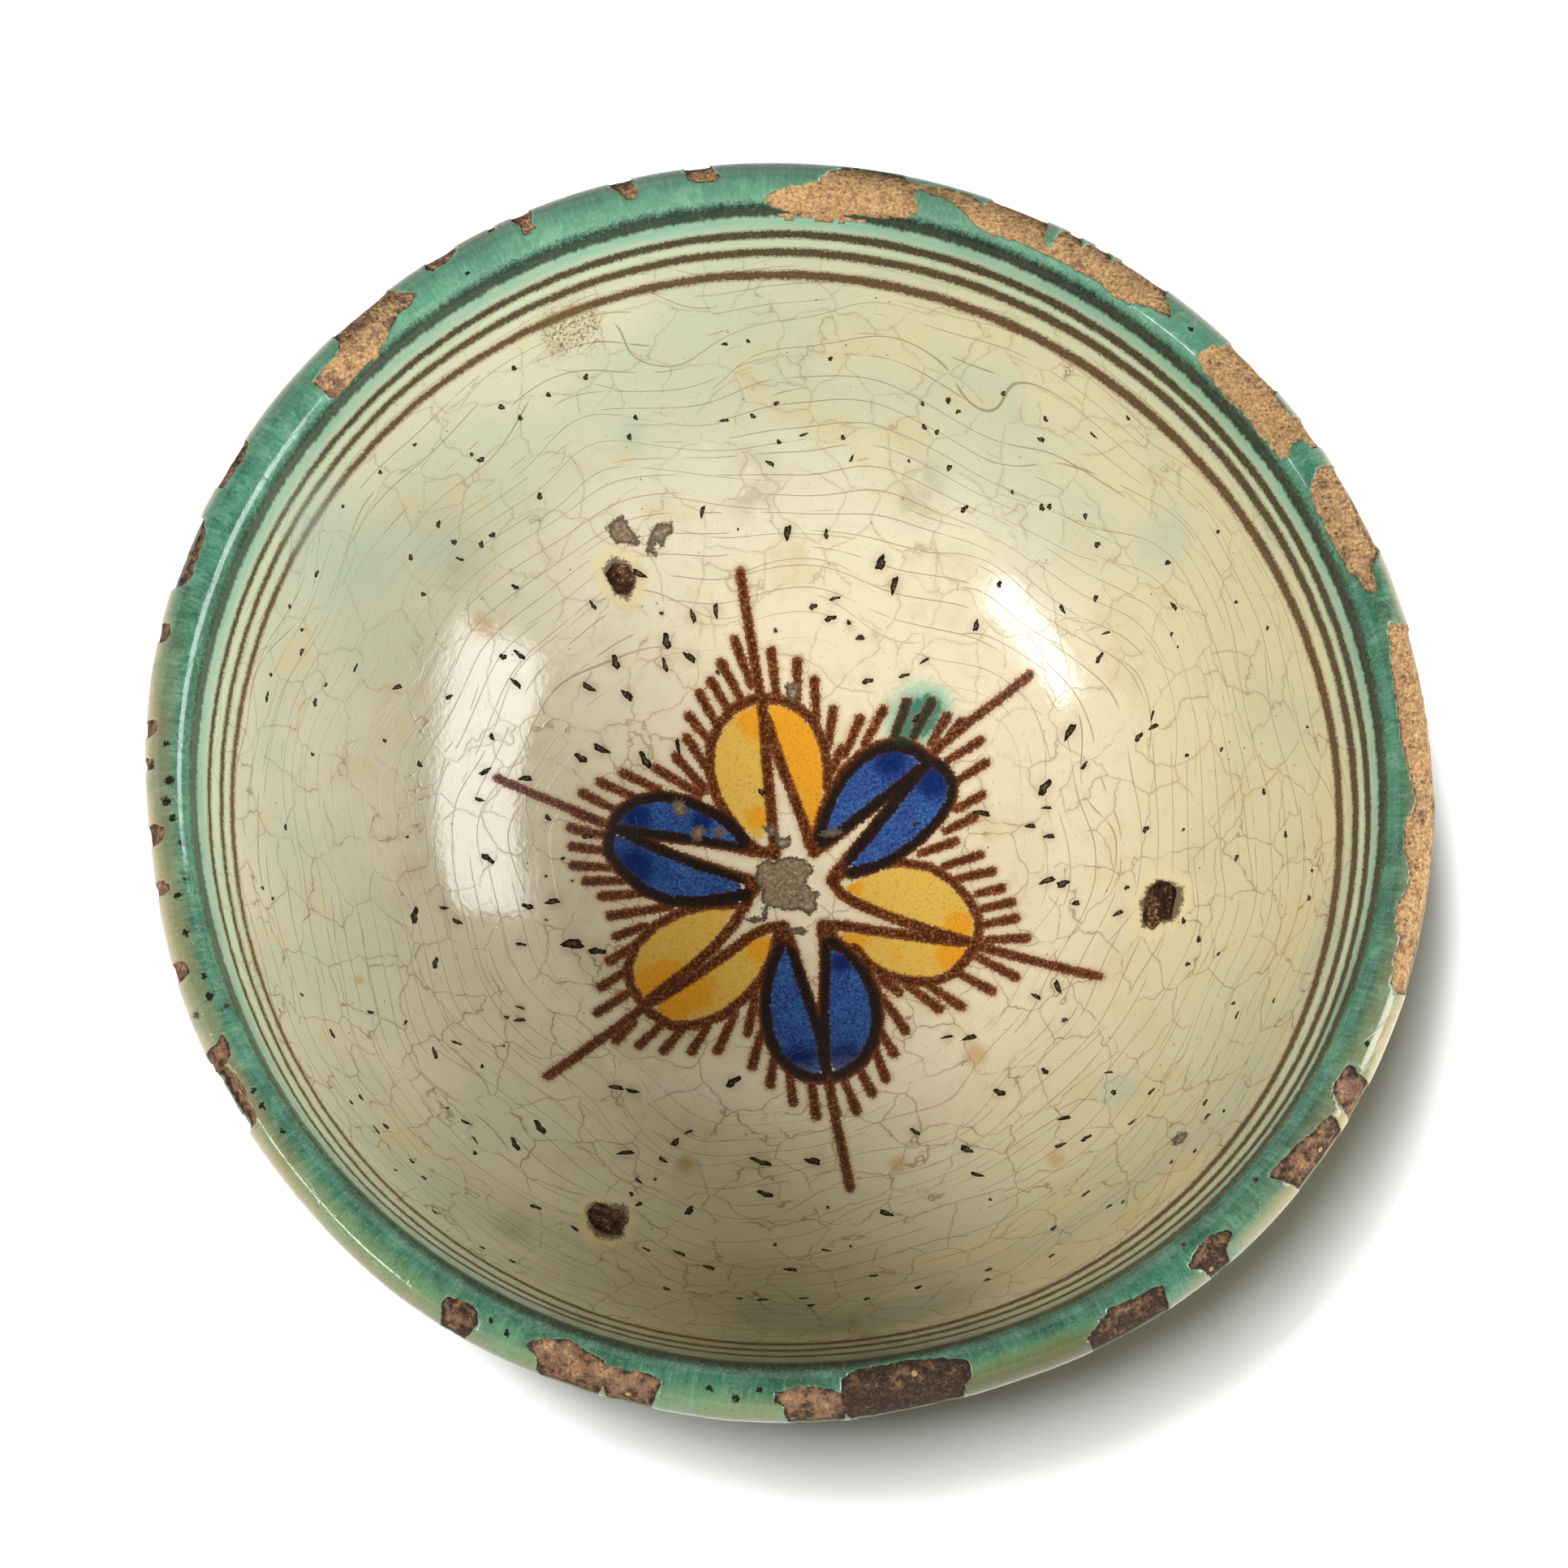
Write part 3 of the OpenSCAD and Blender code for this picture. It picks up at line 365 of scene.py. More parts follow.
# Black scorched specks on the green: angle, distance from the axis, reach
SCORCHES = [
    (177.5, 134, 0.8), (181, 133, 1.3), (183, 133.6, 1.2), (184.6, 132.6, 1.0), (187, 131, 0.8), (190.5, 131, 0.8),
    (192, 133.5, 1.0), (195.6, 133.5, 1.1), (200, 132.5, 0.9), (202, 133, 1.1), (203.3, 130.4, 0.9), (203, 137, 0.9),
    (211.8, 133.2, 0.9), (213.4, 133.4, 0.9), (216.5, 133, 0.8), (242.4, 134.6, 0.8), (244.2, 135.4, 0.8),
    (263, 134.6, 0.9), (265.4, 136, 1.0), (267.4, 134, 0.8), (63.8, 134, 0.9), (48.4, 133.4, 0.8), (20.6, 133, 0.7),
    (122, 133, 0.7), (150, 132, 0.7), (309, 132.6, 0.7), (318, 133, 0.8), (334, 137, 0.8),
]

PIT_GROW = 1.12  # a crater's raised rim stands a little outside the dark spot that was read
PIT_SEED = 7
# A crater's rings from the outside in: share of its width, height, and how far it counts as hollow
CRATER_RINGS = [(1.0, -0.12, 0), (0.92, 0.05, 0), (0.74, 0.13, 0), (0.52, 0.07, 0.6), (0.26, 0.05, 1)]
# A stilt point's rings from the outside in: share of its outline, and share of its height
STILT_RINGS = [(1.06, -0.3), (1.0, 0.1), (0.93, 0.55), (0.72, 0.85), (0.48, 1.0), (0.22, 0.9)]

# Values that the glaze's materials read at the points of the meshes, besides rise and way
PAINT_FIELDS = ["brown", "blue", "yellow", "bare", "stilt", "pit", "thick", *SPOT_FIELDS, *LINES]
RIM_FIELDS = ["edge", "olive", "scorch"]
# Noises in the glaze: bumps for each millimetre, and detail
GLAZE_NOISES = [(1.5, 3.0), (0.16, 3.0), (0.045, 3.0), (0.016, 2.0), (0.05, 2.0), (0.016, 1.0), (0.07, 4.0)]
COOL_SIDE = (-0.866, 0.5, 0)
# The crazing's long hairlines: millimetres apart, swing, and the two levels of noise between which they come in;
# half the width of a hairline, soft and full; and the mesh of the net
HAIRLINES = [(5.2, 6.0, 0.42, 0.50), (8.5, 6.5, 0.58, 0.48)]
HAIR_EDGE = 0.17
HAIR_CORE = 0.05
NET_MM = 13

FAR = 1e3  # farther than any point of the bowl, in millimetres
CLEAR = 50.0  # well away from all painting


def smooth(value, low, high):
    """0 below low, 1 above high, and a soft step between them."""
    t = np.clip((value - low) / (high - low), 0, 1)
    return t * t * (3 - 2 * t)


def noise(points, size, seed, octaves=3):
    """Soft noise from -1 to 1 at points in millimetres; size is the width of its largest bumps."""
    total, reach = 0, 0
    for octave in range(octaves):
        scaled = points / size * 2 ** octave + seed * 7.31
        cell = np.floor(scaled).astype(np.int64)
        part = scaled - cell
        part = part * part * (3 - 2 * part)
        value = 0
        for corner in np.ndindex(2, 2, 2):
            # the cell's numbers, scrambled to a fixed number from 0 to 65535
            c = cell + corner
            mixed = c[..., 0] * 73856093 ^ c[..., 1] * 19349663 ^ c[..., 2] * 83492791 ^ (seed + octave) * 40503
            mixed = (mixed ^ mixed >> 13) * 1274126177 & 0x7FFFFFFF
            mixed = (mixed ^ mixed >> 15) & 0xFFFF
            weight = np.prod(np.where(corner, part, 1 - part), axis=-1)
            value = value + weight * (mixed / 32767.5 - 1)
        total = total + value / 2 ** octave
        reach += 1 / 2 ** octave
    return total / reach


def along_stretch(x, y, start, end):
    """How far along a straight stretch its nearest point lies, from 0 to 1, and the distance to that point."""
    (ax, ay), (bx, by) = start, end
    ex, ey = bx - ax, by - ay
    t = np.clip(((x - ax) * ex + (y - ay) * ey) / (ex * ex + ey * ey), 0, 1)
    return t, np.hypot(x - ax - t * ex, y - ay - t * ey)


def line_distance(x, y, path, width_from, width_to):
    """Distance to a brush stroke's edge, negative inside it."""
    best = np.full(x.shape, FAR)
    last = len(path) - 1
    for k in range(last):
        t, distance = along_stretch(x, y, path[k], path[k + 1])
        half = (width_from + (width_to - width_from) * (k + t) / last) / 2
        best = np.minimum(best, distance - half)
    return best


def outline_distance(x, y, corners):
    """Distance to a closed outline, negative inside it."""
    best = np.full(x.shape, FAR)
    inside = np.zeros(x.shape, bool)
    for (ax, ay), (bx, by) in zip(corners, corners[1:] + corners[:1]):
        best = np.minimum(best, along_stretch(x, y, (ax, ay), (bx, by))[1])
        if ay != by:
            inside ^= ((ay > y) != (by > y)) & (x < ax + (bx - ax) * (y - ay) / (by - ay))
    return np.where(inside, -1, 1) * best


def spots(x, y, places):
    """Soft round spots, 1 in the middle of each."""
    value = np.zeros(x.shape)
    for px, py, reach in places:
        value = np.maximum(value, np.exp(-((x - px) ** 2 + (y - py) ** 2) / (0.6 * reach) ** 2 / 2))
    return value


def bumps(degrees, places):
    """A sum of soft bumps round the bowl: the angle, spread and height of each."""
    return sum(height * np.exp(-(((degrees - middle) / spread) ** 2)) for middle, spread, height in places)


def glaze_section():
    """The glaze's section as ways, radii and heights, with the corner between wall and lip softened."""
    step, lip_turn, wall_from, lead = 0.25, 230, 68, 9.0
    inside = np.arange(0, LIP_WAY, step)
    turn = math.pi - np.arange(0, LIP_R * math.radians(lip_turn), step) / LIP_R
    r = np.concatenate([BOWL_R * np.sin(inside / BOWL_R), LIP_X + LIP_R * np.cos(turn)])
    z = np.concatenate([BOWL_Z - BOWL_R * np.cos(inside / BOWL_R), LIP_Z + LIP_R * np.sin(turn)])
    low_angle = np.radians(np.arange(wall_from, -0.01, -0.1))
    wall_r, wall_z = COAT_R * np.sin(low_angle), BOWL_Z - COAT_R * np.cos(low_angle)
    # a soft hollow under the lip leads into the wall
    t = np.linspace(0, 1, 40)[1:-1]
    start, finish = np.array([r[-1], z[-1]]), np.array([wall_r[0], wall_z[0]])
    start_way = np.array([r[-1] - r[-2], z[-1] - z[-2]]) / step * lead
    finish_way = np.array([wall_r[1] - wall_r[0], wall_z[1] - wall_z[0]])
    finish_way *= lead / np.linalg.norm(finish_way)
    hollow = ((2 * t ** 3 - 3 * t ** 2 + 1)[:, None] * start + (t ** 3 - 2 * t ** 2 + t)[:, None] * start_way
              + (3 * t ** 2 - 2 * t ** 3)[:, None] * finish + (t ** 3 - t ** 2)[:, None] * finish_way)
    r, z = np.concatenate([r, hollow[:, 0], wall_r]), np.concatenate([z, hollow[:, 1], wall_z])
    way = np.concatenate([[0], np.cumsum(np.hypot(np.diff(r), np.diff(z)))])
    even = np.arange(0, way[-1], step)
    r, z = np.interp(even, way, r), np.interp(even, way, z)
    soften = np.exp(-np.linspace(-2.5, 2.5, 21) ** 2 / 2)
    soften /= soften.sum()
    edge = len(soften) // 2
    r[edge:-edge], z[edge:-edge] = np.convolve(r, soften, "valid"), np.convolve(z, soften, "valid")
    return even, r, z


WAYS, SECTION_R, SECTION_Z = glaze_section()
WAY_END = WAYS[-1]


def oval(angle, way, z):
    """How far the hand-thrown wall stands out from the true round, in millimetres."""
    inner = 0.8 + 1.05 * np.cos(2 * (angle - math.radians(135))) + bumps(np.degrees(angle), INSIDE_BUMPS)
    outer = 0.15 + 1.5 * np.cos(2 * (angle - math.radians(131))) + bumps(np.degrees(angle), OUTSIDE_BUMPS)
    share = smooth(way, LIP_WAY - 2, EDGE_WAY)
    return (inner + (outer - inner) * share) * smooth(z, 25, 112)


def surface(way, angle, lift=0.0):
    """Points of the glaze's surface, raised along its normal; angle runs from 0 to a full turn."""
    way, angle = np.broadcast_arrays(np.asarray(way, float), np.asarray(angle, float))
    r, z = np.interp(way, WAYS, SECTION_R), np.interp(way, WAYS, SECTION_Z)
    step = 0.6
    dr = np.interp(way + step, WAYS, SECTION_R) - np.interp(way - step, WAYS, SECTION_R)
    dz = np.interp(way + step, WAYS, SECTION_Z) - np.interp(way - step, WAYS, SECTION_Z)
    length = np.hypot(dr, dz)
    r = r - dz / length * lift + oval(angle, way, z)
    z = z + dr / length * lift
    return np.stack([r * np.cos(angle), r * np.sin(angle), z], -1)


def round_place(angle):
    """A place on a ring for each angle, so that noise closes on itself."""
    return np.stack([np.cos(angle) * 60, np.sin(angle) * 60, np.zeros_like(angle)], -1)


def chip_fields(way, angle):
    """Distance into the nearest chip, and that chip's soil and depth; the distance is negative outside the chips."""
    points = surface(way, angle)
    r = np.hypot(points[..., 0], points[..., 1])
    edge_r = np.hypot(*np.moveaxis(surface(np.full(way.shape, EDGE_WAY), angle)[..., :2], -1, 0))
    reach = np.where(way > EDGE_WAY, edge_r + way - EDGE_WAY, r)
    # the outlines waver, and most on the outside of the lip
    reach = reach + 0.5 * noise(points, 2.2, 3) + 0.4 * noise(points, 0.9, 4, 2)
    waver = 0.8 * smooth(way, EDGE_WAY - 4, EDGE_WAY + 3) * noise(points, 4.5, 7)
    degrees = np.degrees(angle) + 0.25 * noise(points, 2.0, 5) + waver
    into, soil, depth = np.full(way.shape, -50.0), np.zeros(way.shape), np.zeros(way.shape)
    mm_per_degree = math.radians(1) * RIM_R
    for chip_soil, chip_depth, corners in CHIPS:
        first, last = min(c[0] for c in corners), max(c[0] for c in corners)
        apart = (degrees - (first + last) / 2 + 180) % 360 - 180
        near = (np.abs(apart) < (last - first) / 2 + 4) & (way > LIP_WAY - 12) & (way < EDGE_WAY + 16)
        flat = [((a - (first + last) / 2) * mm_per_degree, b) for a, b in corners]
        d = -outline_distance(apart[near] * mm_per_degree, reach[near], flat)
        # the outer end of a chip is rounded
        below = np.clip(way[near] - EDGE_WAY + 0.5 + noise(points[near], 3.0, 6), 0, None)
        d = d - 0.13 * below ** 2
        better = d > into[near]
        for field, value in ((into, d), (soil, chip_soil), (depth, chip_depth)):
            field[near] = np.where(better, value, field[near])
    return into, soil, depth


def make_mesh(name, points, faces, material, fields=None, flat=False):
    """A mesh object from points in millimetres and corner lists of equal length, with named values at its points."""
    mesh = bpy.data.meshes.new(name)
    points, faces = np.asarray(points, float).reshape(-1, 3) * MM, np.asarray(faces, np.int32)
    count, corners = faces.shape
    mesh.vertices.add(len(points))
    mesh.vertices.foreach_set("co", points.astype(np.float32).ravel())
    mesh.loops.add(count * corners)
    mesh.loops.foreach_set("vertex_index", faces.ravel())
    mesh.polygons.add(count)
    mesh.polygons.foreach_set("loop_start", np.arange(0, count * corners, corners, dtype=np.int32))
    mesh.update(calc_edges=True)
    mesh.polygons.foreach_set("use_smooth", np.full(count, not flat))
    for field, values in (fields or {}).items():
        values = np.asarray(values, np.float32).ravel()
        mesh.attributes.new(field, "FLOAT", "POINT").data.foreach_set("value", values)
    mesh.materials.append(material)
    return place_object(name, mesh)


def place_object(name, data):
    """A new object in the scene, at the origin."""
    piece = bpy.data.objects.new(name, data)
    bpy.context.scene.collection.objects.link(piece)
    return piece


def ring_faces(rows, columns):
    """Four-cornered faces of a grid that closes on itself along its columns; rows run along the section."""
    k, i = np.meshgrid(np.arange(rows - 1), np.arange(columns), indexing="ij")
    j = (i + 1) % columns
    faces = np.stack([k * columns + i, k * columns + j, (k + 1) * columns + j, (k + 1) * columns + i], -1)
    return faces.reshape(-1, 4)


def triangles(faces, *caps):
    """Four-cornered faces cut in two, with the triangles of the caps."""
    return np.concatenate([faces[:, [0, 1, 2]], faces[:, [0, 2, 3]], *caps])


def mound_faces(rows, around):
    """Triangles of a mound: rings from the outside in, and its middle point, which comes last."""
    last = (rows - 1) * around + np.arange(around)
    cap = np.stack([last, np.roll(last, -1), np.full(around, rows * around)], -1)
    return triangles(ring_faces(rows, around), cap)


def walk_round(corners, count=None, step=0.9):
    """Points at even steps along a closed outline."""
    closed = np.vstack([corners, corners[:1]])
    way = np.concatenate([[0], np.cumsum(np.hypot(*np.diff(closed, axis=0).T))])
    at = np.linspace(0, way[-1], count or int(way[-1] / step), endpoint=False)
    return np.stack([np.interp(at, way, closed[:, k]) for k in (0, 1)], -1)


def srgb(code):
    """A colour given as sRGB hex, in linear light."""
    parts = [int(code[i:i + 2], 16) / 255 for i in (1, 3, 5)]
    return tuple(p / 12.92 if p <= 0.04045 else ((p + 0.055) / 1.055) ** 2.4 for p in parts) + (1.0,)


def add(tree, kind, inputs=None, out=0, **settings):
    """Adds one node: settings are its properties, inputs are values or sockets by name or number. It gives the
    output asked for, or the node itself where out is None. Kinds of a shader's tree go without their ShaderNode."""
    made = tree.nodes.new("ShaderNode" + kind if tree.bl_idname == "ShaderNodeTree" else kind)
    for key, value in settings.items():
        setattr(made, key, value)
    for key, value in (inputs or {}).items():
        if isinstance(value, bpy.types.NodeSocket):
            tree.links.new(value, made.inputs[key])
        else:
            made.inputs[key].default_value = value
    return made if out is None else made.outputs[out]


def new_material(name):
    """A material without nodes, and the way to add a node to it."""
    material = bpy.data.materials.new(name)
    material.use_nodes = True
    material.node_tree.nodes.clear()
    return material, functools.partial(add, material.node_tree)


def place_mm(node):
    """The place on the object, in millimetres."""
    return node("VectorMath", {0: node("TexCoord", out="Object"), "Scale": 1 / MM}, operation="SCALE")


def mask(node, *bounds):
    """A mask: values that each go softly from 0 to 1 between two levels, multiplied together."""
    share = None
    for value, low, high in bounds:
        part = node("MapRange", {"Value": value, "From Min": low, "From Max": high}, interpolation_type="SMOOTHSTEP")
        share = part if share is None else node("Math", {0: share, 1: part}, operation="MULTIPLY")
    return share


def paint(node, base, layers):
    """Lays colours over a base: each layer is how much it covers, its colour, and the bounds of its mask."""
    for cover, colour, *bounds in layers:
        share = node("Math", {0: mask(node, *bounds), 1: cover}, operation="MULTIPLY")
        base = node("Mix", {0: share, 6: base, 7: srgb(colour)}, out=2, data_type="RGBA")
    return base


def crazing(node, place, way, back, gaps, sway, drift):
    """Distance to the cracks of the net, and how much crack there is: long hairlines round the wall in two families,
    and a net of straighter ones that links them. The real cracks are finer and are drawn wide enough to show."""
    hair = None
    for apart_mm, swing, low, high in HAIRLINES:
        swung = node("Math", {0: sway, 1: swing}, operation="MULTIPLY")
        turning = node("Math", {0: way, 1: 1 / apart_mm, 2: swung}, operation="MULTIPLY_ADD")
        wave = node("Math", {0: turning, 1: 0.5}, operation="PINGPONG")
        line = mask(node, (wave, HAIR_EDGE / apart_mm, HAIR_CORE / apart_mm), (way, 44.0, 76.0), (gaps, low, high))
        hair = line if hair is None else node("Math", {0: hair, 1: line}, operation="MAXIMUM")
    shake = node("TexNoise", {"Vector": place, "Scale": 0.10, "Detail": 3.0}, out="Color")
    shaken = node("VectorMath", {0: shake, "Scale": 0.65}, operation="SCALE")
    net_place = node("VectorMath", {0: place, 1: (1 / NET_MM,) * 3, 2: shaken}, operation="MULTIPLY_ADD")
    net = node("TexVoronoi", {"Vector": net_place, "Scale": 1.0}, out="Distance", feature="DISTANCE_TO_EDGE")
    share = node("MapRange", {"Value": back, "From Min": -30.0, "From Max": 60.0, "To Min": 0.85, "To Max": 0.5})
    net_line = node("Math", {0: mask(node, (net, 0.014, 0.004), (drift, 0.64, 0.50)), 1: share}, operation="MULTIPLY")
    hair = node("Math", {0: hair, 1: net_line}, operation="MAXIMUM")
    return net, hair


def rosette_layers(node, place, base, rough, dull, field, grain, blotch, drift):
    """Lays the three lower lines, the stains, the rosette and the flakes over the cream, and adds to what is dull."""
    # the three lower brown lines, grainy and wavering
    for key, (colour, _) in LINES.items():
        wavered = node("Math", {0: blotch, 1: field[key]}, operation="ADD")
        apart = node("Math", {0: wavered}, operation="ABSOLUTE")
        off = node("Math", {0: apart, 1: field["thick"]}, operation="SUBTRACT")
        frayed = node("Math", {0: grain, 1: 3.0, 2: off}, operation="MULTIPLY_ADD")
        base = paint(node, base, [
            (0.35, "#8a6a3f", (off, 1.1, 0.0)),
            (0.92, colour, (frayed, 1.75, 1.05)),
            (0.45, "#94744a", (frayed, 1.75, 1.15), (grain, 0.46, 0.36)),
        ])
        dull = node("Math", {0: dull, 1: mask(node, (frayed, 1.75, 1.05))}, operation="MAXIMUM")
    # the rosette: grain frays the edges of its fields and strokes
    edge = {}
    for key in ("brown", "blue", "yellow", "bare"):
        level = node("Math", {0: field[key], 1: -1.3}, operation="ADD")
        edge[key] = node("Math", {0: grain, 1: 2.6, 2: level}, operation="MULTIPLY_ADD")
    stroke, yellow, blue, bare = [mask(node, (edge[key], high, low)) for key, high, low in (
        ("brown", 0.30, -0.25), ("yellow", 0.9, 0.1), ("blue", 1.1, 0.3), ("bare", 0.4, -0.2))]
    dull = node("Math", {0: dull, 1: stroke}, operation="MAXIMUM")
    crumbs = node("TexNoise", {"Vector": place, "Scale": 1.1, "Detail": 4.0, "Roughness": 0.75}, out="Fac")
    orange, stain, scar = [
        node("Math", {0: value, 1: weight, 2: field[key]}, operation="MULTIPLY_ADD") for value, weight, key in (
            (drift, 1.5, "orange"), (crumbs, 0.7, "green_stain"), (crumbs, -4.0, "stilt"))]
    on_yellow, on_blue, on_stroke, on_bare = [(share, 0.0, 1.0) for share in (yellow, blue, stroke, bare)]
    base = paint(node, base, [
        (0.40, "#8f7d4e", (field["dirt_stain"], 0.1, 1.0), (drift, 0.40, 0.60)),
        (0.80, "#5a4a1c", (field["dirt_stain"], 0.2, 0.8), (grain, 0.50, 0.60), (field["rise"], -42.0, -30.0)),
        (0.60, "#c0913f", (field["ochre_stain"], 0.1, 1.0)),
        (0.40, "#a9bfae", (field["blue_stain"], 0.0, 1.0)),
        (0.60, "#7fc4ab", (stain, 0.42, 0.80)),
        (0.95, "#1f7f6e", (stain, 0.80, 1.15)),
        (0.80, "#ecd9a6", (scar, 1.8, -0.4)),
        (0.24, "#a2814f", (field["pit"], 0.15, 0.9)),
        (0.85, "#4d331d", (scar, -1.2, -1.9)),
        (0.28, "#a9713f", (field["brown"], 1.5, 0.0)),
        (0.97, "#eabc52", on_yellow),
        (0.92, "#f2a526", on_yellow, (orange, 0.85, 1.30)),
        (0.45, "#b07f24", on_yellow, (grain, 0.52, 0.66)),
        (0.97, "#1a4893", on_blue),
        (0.50, "#3c70b4", on_blue, (blotch, 0.46, 0.64)),
        (0.45, "#6290c8", on_blue, (grain, 0.54, 0.66)),
        (0.85, "#0b2060", on_blue, (field["pool"], 0.1, 0.9)),
        (0.65, "#071c4a", on_blue, (grain, 0.48, 0.37)),
        (0.97, "#743613", on_stroke),
        (0.60, "#42200e", on_stroke, (field["brown"], -0.2, -1.0)),
        (0.75, "#341809", on_stroke, (grain, 0.50, 0.60)),
        (0.60, "#b87848", on_stroke, (grain, 0.46, 0.37)),
        (0.90, "#17191a", on_stroke, (edge["blue"], 2.9, 1.4)),
        (0.75, "#20382f", on_stroke, (stain, 0.75, 1.05)),
        (1.00, "#8d7860", on_bare),
        (0.80, "#c4ae90", on_bare, (crumbs, 0.52, 0.64)),
        (0.85, "#57473a", on_bare, (crumbs, 0.46, 0.36)),
        (0.75, "#4c4034", on_bare, (field["bare"], -0.9, -0.2)),
    ])
    rough = node("Mix", {0: bare, 2: rough, 3: 0.85})
    return base, rough, dull


def rim_layers(node, base, field, grain, drift, ragged, right, back):
    """Lays olive and tan along the outer edge, scorched specks, and a darker brown on the broken edges of the coat.
    """
    burnt = node("Math", {0: grain, 1: 1.6, 2: field["scorch"]}, operation="MULTIPLY_ADD")
    rise, olive, in_front = field["rise"], field["olive"], (back, -70.0, -115.0)
    base = paint(node, base, [
        (0.62, "#7a9466", (olive, 0.0, 0.8), (ragged, 5.0, 12.0)),
        (0.55, "#8c8a55", (olive, 0.0, 0.8), (ragged, 9.0, 16.0), (drift, 0.42, 0.58)),
        (0.34, "#a97f58", (ragged, 7.0, 11.0), (back, 50.0, 5.0), (back, -110.0, -70.0)),
        (0.68, "#c8b48a", (rise, 11.0, 15.5), (back, 136.0, 100.0), (back, -125.0, -90.0), (drift, 0.32, 0.50)),
        (0.60, "#847a50", (rise, 10.0, 15.0), in_front, (drift, 0.34, 0.54)),
        (0.80, "#4f4a22", (olive, 0.0, 0.7), (ragged, 8.0, 14.0), in_front, (right, 0.0, 30.0)),
        (0.55, "#5a4a2a", (olive, 0.2, 0.9), (grain, 0.58, 0.70), (ragged, 6.0, 10.0)),
        (0.95, "#1d1710", (burnt, 1.10, 1.35)),
        (0.80, "#77654a", (field["edge"], 0.3, 1.0)),
    ])
    return base


def glaze_material(name, painted):
    """Tin-lead glaze: cream that turns celadon towards the rim, crazed with brown hairlines, green over the lip.
    Its gloss is what shows the studio windows; the colours are sunk into it with soft, grainy edges."""
    material, node = new_material(name)
    place = place_mm(node)
    field = {key: node("Attribute", out="Fac", attribute_name=key)
             for key in ["rise", "way"] + (PAINT_FIELDS if painted else RIM_FIELDS)}
    rise, way = field["rise"], field["way"]
    grain, blotch, wide, broad, gaps, sway, drift = [
        node("TexNoise", {"Vector": place, "Scale": scale, "Detail": detail, "Roughness": 0.65}, out="Fac")
        for scale, detail in GLAZE_NOISES]
    right, back = node("SeparateXYZ", {0: place}, out=slice(0, 2))

    # cream on the floor, greyer green up the wall and painted darker there as shade, cooler at the back left, with
    # warm and cool clouds
    side = node("VectorMath", {0: place, 1: COOL_SIDE}, out="Value", operation="DOT_PRODUCT")
    base = paint(node, srgb("#f4e6c6"), [
        (0.75, "#cdc8a1", (rise, -114.0, -34.0)),
        (0.55, "#b6c5ab", (rise, -120.0, -30.0), (broad, 0.42, 0.60)),
        (0.28, "#d9bd86", (side, 0.0, -90.0)),
        (0.25, "#c4cfc4", (side, 20.0, 110.0)),
        (0.45, "#d8bf8c", (wide, 0.54, 0.72)),
        (0.30, "#cfc09a", (blotch, 0.54, 0.75)),
        (0.22, "#a9966d", (grain, 0.54, 0.74)),
    ])

    net, hair = crazing(node, place, way, back, gaps, sway, drift)
    specks = [node("TexVoronoi", {"Vector": place, "Scale": scale}, out=None).outputs for scale in (0.3, 0.75)]
    picks = [node("SeparateColor", {0: cell["Color"]}) for cell in specks]
    base = paint(node, base, [
        (0.12, "#b08a58", (net, 0.07, 0.0), (drift, 0.66, 0.50)),
        (0.58, "#7f5830", (hair, 0.0, 1.0)),
        (0.75, "#3a2c1e", (specks[0]["Distance"], 0.10, 0.05), (picks[0], 0.72, 0.9)),
        (0.45, "#5b4830", (specks[1]["Distance"], 0.16, 0.08), (picks[1], 0.70, 0.8)),
    ])

    # celadon between the lines, then the copper green that runs over the lip in fine streaks, above the topmost
    # brown line, which is matt: dull is its share
    angle = node("Math", {0: back, 1: right}, operation="ARCTAN2")
    ring = [node("Math", {0: node("Math", {0: angle}, operation=kind), 1: RIM_R}, operation="MULTIPLY")
            for kind in ("COSINE", "SINE")]
    drawn_out = node("Math", {0: way, 1: 0.16}, operation="MULTIPLY")
    streak_place = node("CombineXYZ", {0: ring[0], 1: ring[1], 2: drawn_out})
    streak = node("TexNoise", {"Vector": streak_place, "Scale": 1.0, "Detail": 3.0, "Roughness": 0.65}, out="Fac")
    ragged = node("Math", {0: streak, 1: 3.4, 2: rise}, operation="MULTIPLY_ADD")
    grainy = node("Math", {0: grain, 1: -3.5, 2: rise}, operation="MULTIPLY_ADD")
    fringe = node("Math", {0: streak, 1: -4.0, 2: grainy}, operation="MULTIPLY_ADD")
    on_green = (ragged, 1.0, 3.0)
    strength = node("Math", {0: ring[0], 1: 0.10 / RIM_R, 2: 0.86}, operation="MULTIPLY_ADD")
    top_line = mask(node, (ragged, -3.0, -0.9), (fringe, 0.1, -3.7), (way, 186.0, 182.0))
    dull = node("Math", {0: top_line, 1: strength}, operation="MULTIPLY")
    base = paint(node, base, [
        (0.60, "#b7d1b1", (rise, -24.0, -13.0)),
        (0.68, "#86b39a", (rise, -11.5, -5.5)),
        (0.55, "#58a287", (rise, -8.0, -2.0), (drift, 0.42, 0.58)),
        (1.00, "#4a8669", on_green),
        (0.42, "#7fb191", on_green, (blotch, 0.48, 0.64)),
        (0.70, "#2f5f4a", on_green, (drift, 0.46, 0.62)),
        (0.45, "#235743", on_green, (streak, 0.48, 0.35)),
        (0.24, "#86c7a8", on_green, (streak, 0.54, 0.66)),
        (0.35, "#97bf9c", on_green, (grain, 0.46, 0.30)),
        (0.40, "#294a39", on_green, (grain, 0.56, 0.70)),
        # the green is painted lighter at the back, as light, and darker in front, as shade
        (0.32, "#93c2a2", on_green, (back, 50.0, 125.0)),
        (0.22, "#4b4b38", on_green, (back, -60.0, -125.0)),
        (0.96, "#12140d", (dull, 0.0, 1.0)),
        (0.40, "#6b8a70", (dull, 0.2, 0.7), (grain, 0.45, 0.35)),
    ])

